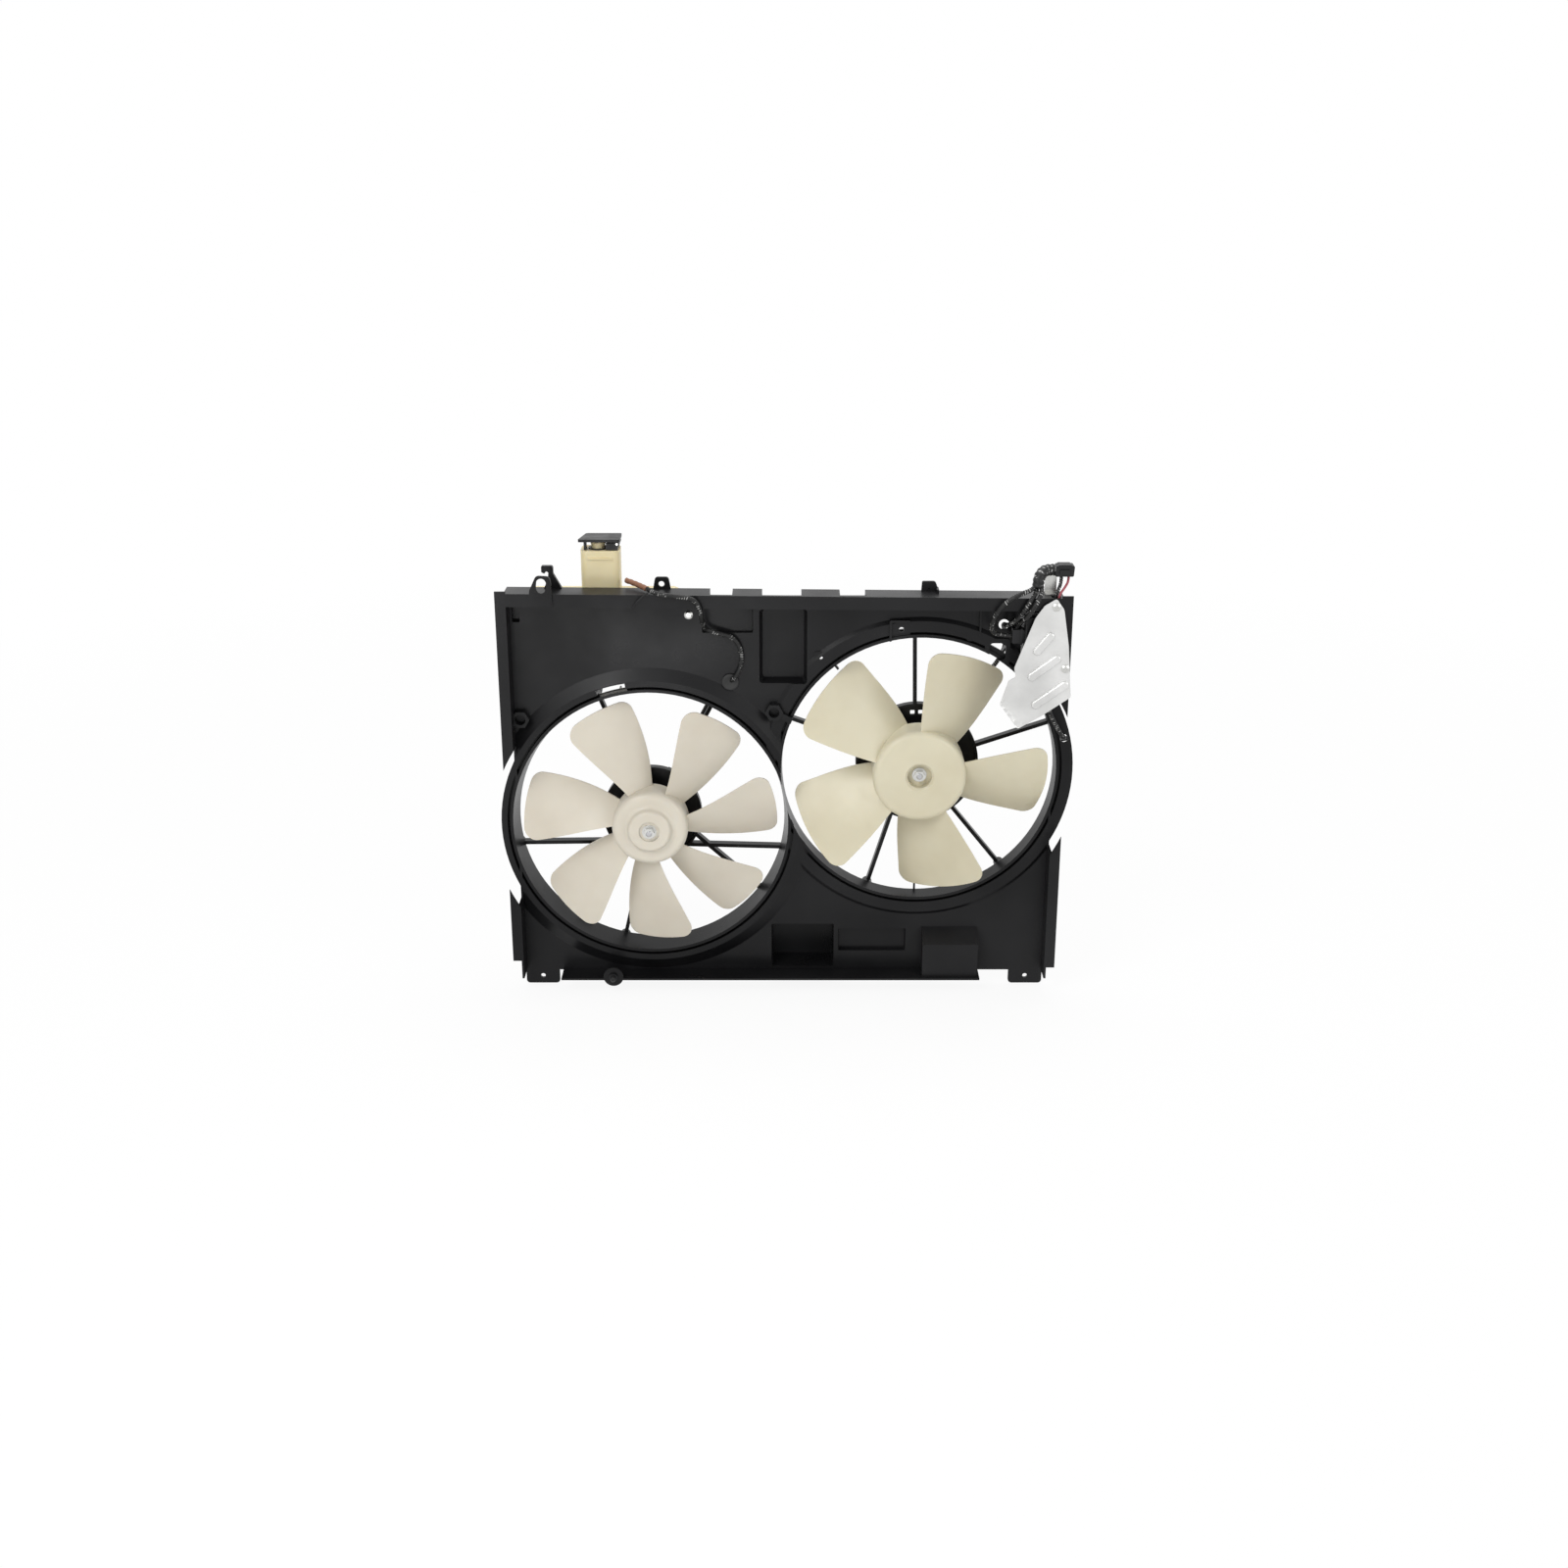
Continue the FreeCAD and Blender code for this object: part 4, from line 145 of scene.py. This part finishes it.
class Shader:
    """A node material with a principled shader, and the pieces that its detail is made of."""

    def __init__(self, name, color, roughness, metallic=0.0):
        self.material = bpy.data.materials.new(name)
        self.material.use_nodes = True
        self.nodes = self.material.node_tree.nodes
        self.links = self.material.node_tree.links
        self.surface = self.nodes["Principled BSDF"]
        self.surface.inputs["Base Color"].default_value = (*color, 1)
        self.surface.inputs["Roughness"].default_value = roughness
        self.surface.inputs["Metallic"].default_value = metallic
        self.height = None

    def place(self, stretch=(1, 1, 1)):
        """Object coordinates, stretched so that a texture can run along one way."""
        coordinates = self.nodes.new("ShaderNodeTexCoord")
        mapping = self.nodes.new("ShaderNodeMapping")
        mapping.inputs["Scale"].default_value = stretch
        self.links.new(coordinates.outputs["Object"], mapping.inputs["Vector"])
        return mapping.outputs["Vector"]

    def noise(self, scale, detail=4.0, stretch=(1, 1, 1), rough=0.55):
        """A cloudy value from nothing to one."""
        texture = self.nodes.new("ShaderNodeTexNoise")
        texture.inputs["Scale"].default_value = scale
        texture.inputs["Detail"].default_value = detail
        texture.inputs["Roughness"].default_value = rough
        self.links.new(self.place(stretch), texture.inputs["Vector"])
        return texture.outputs["Fac"]

    def ramp(self, value, low, high, at=(0.3, 0.7)):
        """Turns a value into a colour between two others."""
        ramp = self.nodes.new("ShaderNodeValToRGB")
        ramp.color_ramp.elements[0].position = at[0]
        ramp.color_ramp.elements[0].color = (*low, 1)
        ramp.color_ramp.elements[1].position = at[1]
        ramp.color_ramp.elements[1].color = (*high, 1)
        self.links.new(value, ramp.inputs["Fac"])
        return ramp.outputs["Color"]

    def spread(self, value, low, high, start=0.3, end=0.7):
        """Maps a value to the range from low to high."""
        spread = self.nodes.new("ShaderNodeMapRange")
        spread.inputs["From Min"].default_value = start
        spread.inputs["From Max"].default_value = end
        spread.inputs["To Min"].default_value = low
        spread.inputs["To Max"].default_value = high
        self.links.new(value, spread.inputs["Value"])
        return spread.outputs["Result"]

    def combine(self, operation, first, second):
        """Joins two values, or a value and a number, by arithmetic."""
        node = self.nodes.new("ShaderNodeMath")
        node.operation = operation
        for socket, value in zip(node.inputs, (first, second)):
            if isinstance(value, (int, float)):
                socket.default_value = value
            else:
                self.links.new(value, socket)
        return node.outputs["Value"]

    def along(self, direction):
        """How far a point lies along a direction, in metres."""
        coordinates = self.nodes.new("ShaderNodeTexCoord")
        product = self.nodes.new("ShaderNodeVectorMath")
        product.operation = "DOT_PRODUCT"
        product.inputs[1].default_value = direction
        self.links.new(coordinates.outputs["Object"], product.inputs[0])
        return product.outputs["Value"]

    def color(self, output):
        """Takes the base colour from a node."""
        self.links.new(output, self.surface.inputs["Base Color"])
        return self

    def rough(self, output):
        """Takes the roughness from a node."""
        self.links.new(output, self.surface.inputs["Roughness"])
        return self

    def bump(self, value, depth, strength=0.5):
        """Adds relief; several calls add up."""
        bump = self.nodes.new("ShaderNodeBump")
        bump.inputs["Strength"].default_value = strength
        bump.inputs["Distance"].default_value = depth
        self.links.new(value, bump.inputs["Height"])
        if self.height is not None:
            self.links.new(self.height, bump.inputs["Normal"])
        self.height = bump.outputs["Normal"]
        self.links.new(self.height, self.surface.inputs["Normal"])
        return self

    def set(self, **values):
        """Sets numbers on the shader's own sockets."""
        for name, value in values.items():
            self.surface.inputs[name.replace("_", " ")].default_value = value
        return self


def moulded_black():
    """Satin black moulded panel with wiped patches, faint dust and flow marks."""
    s = Shader("moulded_black", (0.014, 0.014, 0.015), 0.34)
    s.color(s.ramp(s.noise(4.5, 3), (0.004, 0.004, 0.0045), (0.015, 0.015, 0.016), (0.38, 0.72)))
    s.rough(s.spread(s.noise(6, 4), 0.22, 0.46))
    s.bump(s.noise(1400, 2), 0.00005, 0.2)
    s.bump(s.noise(9, 2), 0.0016, 0.3)
    return s.set(Specular_IOR_Level=0.19)


def connector_black():
    """Plain black plastic of the small parts."""
    s = Shader("connector_black", (0.01, 0.01, 0.011), 0.4)
    s.rough(s.spread(s.noise(60, 4), 0.32, 0.5))
    s.bump(s.noise(1200, 2), 0.00005, 0.3)
    return s.set(Specular_IOR_Level=0.3)


def cream(name, light, dark):
    """Undyed plastic with moulding flow and a little light coming through."""
    s = Shader(name, light, 0.36)
    s.color(s.ramp(s.noise(7, 4), dark, light, (0.25, 0.6)))
    s.rough(s.spread(s.noise(40, 4), 0.3, 0.42))
    s.bump(s.noise(900, 2), 0.00004, 0.2)
    return s.set(Subsurface_Weight=0.12, Subsurface_Radius=(0.01, 0.007, 0.004),
                 Subsurface_Scale=0.4)


def tank_plastic():
    """Yellowed, slightly cloudy plastic of the tank."""
    s = Shader("tank_plastic", (0.72, 0.63, 0.42), 0.42)
    s.color(s.ramp(s.noise(9, 5), (0.74, 0.62, 0.37), (0.86, 0.76, 0.49), (0.3, 0.7)))
    s.bump(s.noise(500, 3), 0.0001, 0.3)
    return s.set(Subsurface_Weight=0.2, Subsurface_Radius=(0.02, 0.014, 0.006),
                 Subsurface_Scale=0.5)


def metal(name, color, roughness, grain=90, brushed=(1, 1, 1)):
    """Bare metal with a fine grain, which may run one way."""
    s = Shader(name, color, roughness, 1.0)
    s.rough(s.spread(s.noise(grain, 4, brushed), roughness - 0.08, roughness + 0.1))
    s.bump(s.noise(grain * 6, 3, brushed), 0.00004, 0.3)
    return s


def shield_aluminium():
    """Bright pressed sheet, with its lower inner corner crumpled like foil."""
    s = Shader("shield_aluminium", (0.68, 0.68, 0.67), 0.36, 0.75)
    s.color(s.ramp(s.noise(16, 5), (0.58, 0.58, 0.57), (0.72, 0.72, 0.71), (0.3, 0.6)))
    s.rough(s.spread(s.noise(60, 5), 0.3, 0.46))
    corner = s.spread(s.along(CRUMPLE_WAY), 0, 1, CRUMPLE_START, CRUMPLE_FULL)
    creases = s.nodes.new("ShaderNodeTexVoronoi")
    creases.feature = "DISTANCE_TO_EDGE"
    creases.inputs["Scale"].default_value = CREASE_SCALE
    s.links.new(s.place(), creases.inputs["Vector"])
    s.bump(s.combine("MULTIPLY", creases.outputs["Distance"], corner), 0.02, 0.9)
    s.bump(s.noise(20, 2), 0.0008, 0.3)
    s.bump(s.noise(700, 2), 0.00005, 0.2)
    return s


def winding():
    """Lacquered copper wire, wound side by side."""
    s = Shader("copper_winding", (0.55, 0.22, 0.09), 0.35, 0.8)
    s.bump(s.noise(300, 2, (1, 6, 1)), 0.0004, 0.6)
    return s


def braid():
    """Ribbed black sleeve, with pale highlights painted into its colour as flecks along the ribs,
    where the ribs would catch the light.
    """
    s = Shader("loom_sleeve", (0.01, 0.01, 0.01), 0.45)
    coordinates = s.nodes.new("ShaderNodeTexCoord")
    mapping = s.nodes.new("ShaderNodeMapping")
    mapping.inputs["Scale"].default_value = (math.sqrt(2), math.sqrt(2), 1)
    mapping.inputs["Rotation"].default_value = (0, 0, math.radians(-45))
    s.links.new(coordinates.outputs["UV"], mapping.inputs["Vector"])
    wave = s.nodes.new("ShaderNodeTexWave")
    wave.inputs["Scale"].default_value = math.pi / 10
    wave.inputs["Distortion"].default_value = 0.4
    s.links.new(mapping.outputs["Vector"], wave.inputs["Vector"])
    patches = s.spread(s.noise(170, 2), 0.2, 1.0, 0.46, 0.6)
    # Painted highlight: the pale flecks are light on the ribs, laid into the base colour.
    painted_glints = s.combine("MULTIPLY", wave.outputs["Fac"], patches)
    s.color(s.ramp(painted_glints, (0.006, 0.006, 0.006), (0.42, 0.42, 0.41), (0.55, 0.95)))
    s.rough(s.spread(s.noise(300, 2), 0.36, 0.56))
    s.bump(wave.outputs["Fac"], 0.0003, 0.6)
    return s.set(Specular_IOR_Level=0.35)


def plain(name, color, roughness, grain=300):
    """One colour with a fine grain and uneven gloss."""
    s = Shader(name, color, roughness)
    s.rough(s.spread(s.noise(grain / 5, 4), roughness - 0.06, roughness + 0.08))
    s.bump(s.noise(grain, 3), 0.0001, 0.3)
    return s


SLOTS = {
    "moulded_black": moulded_black(),
    "connector_black": connector_black(),
    "cream_plastic": cream("cream_plastic", (0.67, 0.625, 0.53), (0.59, 0.535, 0.44)),
    "warm_cream_plastic": cream("warm_cream_plastic", (0.66, 0.615, 0.46), (0.56, 0.505, 0.355)),
    "tank_plastic": tank_plastic(),
    "zinc_steel": metal("zinc_steel", (0.6, 0.6, 0.58), 0.3),
    "machined_steel": metal("machined_steel", (0.5, 0.5, 0.51), 0.24, 120, (1, 8, 1)),
    "core_steel": metal("core_steel", (0.22, 0.22, 0.23), 0.4, 60, (1, 30, 1)),
    "cast_aluminium": metal("cast_aluminium", (0.55, 0.55, 0.55), 0.45, 200),
    "motor_can": metal("motor_can", (0.03, 0.03, 0.032), 0.36, 80),
    "bronze": metal("bronze", (0.5, 0.35, 0.17), 0.4),
    "shield_aluminium": shield_aluminium(),
    "copper_winding": winding(),
    "loom_sleeve": braid(),
    "ferrite": plain("ferrite", (0.05, 0.05, 0.055), 0.6),
    "carbon": plain("carbon", (0.02, 0.02, 0.02), 0.7),
    "brush_card": plain("brush_card", (0.22, 0.1, 0.04), 0.5),
    "seal_rubber": plain("seal_rubber", (0.014, 0.014, 0.014), 0.65),
    "red_insulation": plain("red_insulation", (0.36, 0.07, 0.09), 0.42),
}
BROWN_TAPE = plain("brown_tape", (0.23, 0.105, 0.06), 0.6, 500)


def dress_frame():
    """Gives each node of the frame the finish that the record names."""
    for part in frame["record"]["subparts"]:
        node = NODES[part["node"]]
        node.data.materials.clear()
        node.data.materials.append(SLOTS[part["material_slot"]].material)


# Wiring


def centre_line(points):
    """The smooth line of a route, as points evenly apart, in millimetres."""
    curve = bpy.data.curves.new("route", "CURVE")
    curve.dimensions = "3D"
    curve.resolution_u = 16
    spline = curve.splines.new("NURBS")
    spline.points.add(len(points) - 1)
    for point, place in zip(spline.points, points):
        point.co = (*place, 1)
    spline.order_u = 3
    spline.use_endpoint_u = True
    holder = bpy.data.objects.new("route", curve)
    mesh = bpy.data.meshes.new_from_object(holder)
    dense = [vertex.co.copy() for vertex in mesh.vertices]
    bpy.data.objects.remove(holder)
    bpy.data.curves.remove(curve)
    bpy.data.meshes.remove(mesh)
    line = [dense[0]]
    for place in dense[1:]:
        while (place - line[-1]).length >= RING_STEP:
            line.append(line[-1] + (place - line[-1]).normalized() * RING_STEP)
    return line


def tube(name, points, radius, material, pitch=RIB_PITCH, relief=RIB_DEPTH, sides=16):
    """A sleeve along a route, with a rib that winds round it."""
    line = centre_line(points)
    across = (line[1] - line[0]).orthogonal().normalized()
    vertices = []
    coordinates = []
    for index, place in enumerate(line):
        ahead = (line[min(index + 1, len(line) - 1)] - line[max(index - 1, 0)]).normalized()
        across = (across - ahead * across.dot(ahead)).normalized()
        up = ahead.cross(across)
        turn = index * RING_STEP / pitch
        for side in range(sides + 1):
            share = side / sides
            reach = radius - relief * (0.5 - 0.5 * math.cos(math.tau * (turn + share)))
            angle = math.tau * share
            offset = across * math.cos(angle) + up * math.sin(angle)
            if side < sides:
                vertices.append((place + offset * reach) * MM)
            coordinates.append((turn, share))
    faces = []
    corners = []
    for index in range(len(line) - 1):
        for side in range(sides):
            here = index * sides
            beside = (side + 1) % sides
            faces.append((here + side, here + beside, here + sides + beside, here + sides + side))
            mark = index * (sides + 1) + side
            corners += [mark, mark + 1, mark + sides + 2, mark + sides + 1]
    last = (len(line) - 1) * sides
    faces.append(tuple(reversed(range(sides))))
    faces.append(tuple(range(last, last + sides)))
    corners += [0] * (2 * sides)
    mesh = bpy.data.meshes.new(name)
    mesh.from_pydata(vertices, [], faces)
    unwrap = mesh.uv_layers.new(name="UVMap")
    for loop, corner in zip(unwrap.data, corners):
        loop.uv = coordinates[corner]
    mesh.shade_smooth()
    mesh.materials.append(material.material)
    piece = bpy.data.objects.new(name, mesh)
    bpy.context.scene.collection.objects.link(piece)
    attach(piece, "frame")
    return piece


def grommet(name, x, z, radius):
    """A rubber grommet that closes a hole in the panel round the loom that goes through it."""
    profile = ((0.0, -2.0), (radius - 2.5, -2.4), (radius - 0.6, -3.4), (radius + 1.6, -3.2),
               (radius + 2.2, -2.0), (radius + 1.8, -0.1), (radius - 0.2, -0.1),
               (radius - 0.2, 3.2), (radius - 2.0, 3.0), (radius - 2.6, 0.2), (0.0, 0.6))
    around = 40
    vertices = []
    for reach, depth in profile[1:-1]:
        for turn in range(around):
            angle = math.tau * turn / around
            vertices.append(((x + reach * math.cos(angle)) * MM, depth * MM,
                             (z + reach * math.sin(angle)) * MM))
    front = len(vertices)
    vertices += [(x * MM, profile[0][1] * MM, z * MM), (x * MM, profile[-1][1] * MM, z * MM)]
    faces = []
    rings = len(profile) - 2
    for turn in range(around):
        beside = (turn + 1) % around
        faces.append((front, turn, beside))
        faces.append((front + 1, (rings - 1) * around + beside, (rings - 1) * around + turn))
        for ring in range(rings - 1):
            here = ring * around
            faces.append((here + turn, here + around + turn, here + around + beside, here + beside))
    mesh = bpy.data.meshes.new(name)
    mesh.from_pydata(vertices, [], faces)
    mesh.shade_smooth()
    mesh.materials.append(SLOTS["seal_rubber"].material)
    piece = bpy.data.objects.new(name, mesh)
    bpy.context.scene.collection.objects.link(piece)
    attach(piece, "frame")


def wiring():
    """The looms and leads, in place of the plain tubes, with their tape and loose ends."""
    sleeves = (
        ("left_motor", LEFT_MOTOR_ROUTE, LOOM_RADIUS),
        ("right_motor", RIGHT_MOTOR_ROUTE, LOOM_RADIUS),
        ("signal", SIGNAL_ROUTE, LOOM_RADIUS),
        ("controller", CONTROLLER_ROUTE, LOOM_RADIUS),
        ("side", SIDE_ROUTE, SIDE_LOOM_RADIUS),
    )
    for name, points, radius in sleeves:
        piece = tube(f"{name}_braid", points, radius, SLOTS["loom_sleeve"])
        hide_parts(f"{name}_loom")
    trunk = tube("main_braid", TRUNK_ROUTE, TRUNK_RADIUS, SLOTS["loom_sleeve"],
                 pitch=TRUNK_RIB_PITCH, relief=TRUNK_RIB_DEPTH, sides=30)
    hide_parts("main_loom")
    dark = tube("dark_wire", DARK_LEAD_ROUTE, DARK_LEAD_RADIUS, SLOTS["loom_sleeve"],
                relief=LEAD_RIB_DEPTH, sides=12)
    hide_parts("dark_lead")
    red = tube("red_wire", RED_LEAD_ROUTE, RED_LEAD_RADIUS, SLOTS["red_insulation"],
               relief=0.0, sides=12)
    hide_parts("red_lead")
    tube("brown_tape", LEFT_MOTOR_ROUTE[:3], LOOM_RADIUS + TAPE_THICKNESS, BROWN_TAPE,
         pitch=TAPE_PITCH)
    tube("loose_end", LOOSE_END_ROUTE, THIN_WIRE_RADIUS, SLOTS["connector_black"],
         relief=0.0, sides=8)
    tube("red_strand", RED_STRAND_ROUTE, THIN_WIRE_RADIUS, SLOTS["red_insulation"],
         relief=0.0, sides=8)
    grommet("left_loom_grommet", *LOOM_HOLE, LOOM_HOLE_RADIUS)


# Studio


def stage():
    """A white floor that takes a faint shadow near the part and none far from it."""
    signs = ((-1, -1), (1, -1), (1, 1), (-1, 1))
    corners = [(x * FLOOR_REACH, y * FLOOR_REACH, cad_low.z) for x, y in signs]
    mesh = bpy.data.meshes.new("floor")
    mesh.from_pydata(corners, [], [(0, 1, 2, 3)])
    floor = bpy.data.objects.new("floor", mesh)
    bpy.context.scene.collection.objects.link(floor)
    s = Shader("floor_white", (0.9, 0.9, 0.9), 0.9)
    s.color(s.ramp(s.noise(3, 2), (0.89, 0.89, 0.89), (0.91, 0.91, 0.91)))
    glow = s.nodes.new("ShaderNodeEmission")
    distance = s.nodes.new("ShaderNodeVectorMath")
    distance.operation = "LENGTH"
    s.links.new(s.place(), distance.inputs[0])
    share = s.spread(distance.outputs["Value"], GLOW_NEAR, GLOW_FAR, SHADOW_NEAR, SHADOW_FAR)
    mix = s.nodes.new("ShaderNodeMixShader")
    s.links.new(s.combine("MULTIPLY", seen_directly(s.nodes, s.links), share), mix.inputs["Fac"])
    s.links.new(s.surface.outputs["BSDF"], mix.inputs[1])
    s.links.new(glow.outputs["Emission"], mix.inputs[2])
    s.links.new(mix.outputs["Shader"], s.nodes["Material Output"].inputs["Surface"])
    mesh.materials.append(s.material)


def light(name, place, target, size, power):
    """A soft rectangular lamp."""
    data = bpy.data.lights.new(name, "AREA")
    data.shape = "RECTANGLE"
    data.size = size[0]
    data.size_y = size[1]
    data.energy = power
    lamp = bpy.data.objects.new(name, data)
    lamp.location = place
    lamp.rotation_euler = (Vector(target) - Vector(place)).to_track_quat("-Z", "Y").to_euler()
    bpy.context.scene.collection.objects.link(lamp)


def seen_directly(nodes, links):
    """One for what the camera sees, or sees in a reflection, and nothing for other light."""
    rays = nodes.new("ShaderNodeLightPath")
    value = rays.outputs["Is Camera Ray"]
    for kind in ("Is Glossy Ray", "Is Transmission Ray"):
        either = nodes.new("ShaderNodeMath")
        either.operation = "MAXIMUM"
        links.new(value, either.inputs[0])
        links.new(rays.outputs[kind], either.inputs[1])
        value = either.outputs["Value"]
    return value


def world():
    """White where the camera sees it, and softer as a source of light."""
    sky = bpy.data.worlds.new("studio")
    sky.use_nodes = True
    nodes = sky.node_tree.nodes
    links = sky.node_tree.links
    background = nodes["Background"]
    background.inputs["Color"].default_value = (1, 1, 1, 1)
    strength = nodes.new("ShaderNodeMapRange")
    strength.inputs["To Min"].default_value = SKY_LIGHT
    strength.inputs["To Max"].default_value = 1.0
    links.new(seen_directly(nodes, links), strength.inputs["Value"])
    links.new(strength.outputs["Result"], background.inputs["Strength"])
    bpy.context.scene.world = sky


def camera():
    """The photograph's camera."""
    data = bpy.data.cameras.new("camera")
    data.lens = CAMERA_LENS
    data.sensor_width = CAMERA_SENSOR
    data.clip_end = 50
    eye = bpy.data.objects.new("camera", data)
    back = Vector((0, -math.cos(CAMERA_ELEVATION), math.sin(CAMERA_ELEVATION)))
    eye.location = CAMERA_TARGET + back * CAMERA_DISTANCE
    eye.rotation_euler = (-back).to_track_quat("-Z", "Y").to_euler()
    bpy.context.scene.collection.objects.link(eye)
    bpy.context.scene.camera = eye


dress_frame()
wiring()
stage()
for lamp_facts in LAMPS:
    light(*lamp_facts)
world()
camera()
bpy.context.scene.view_settings.view_transform = "Standard"
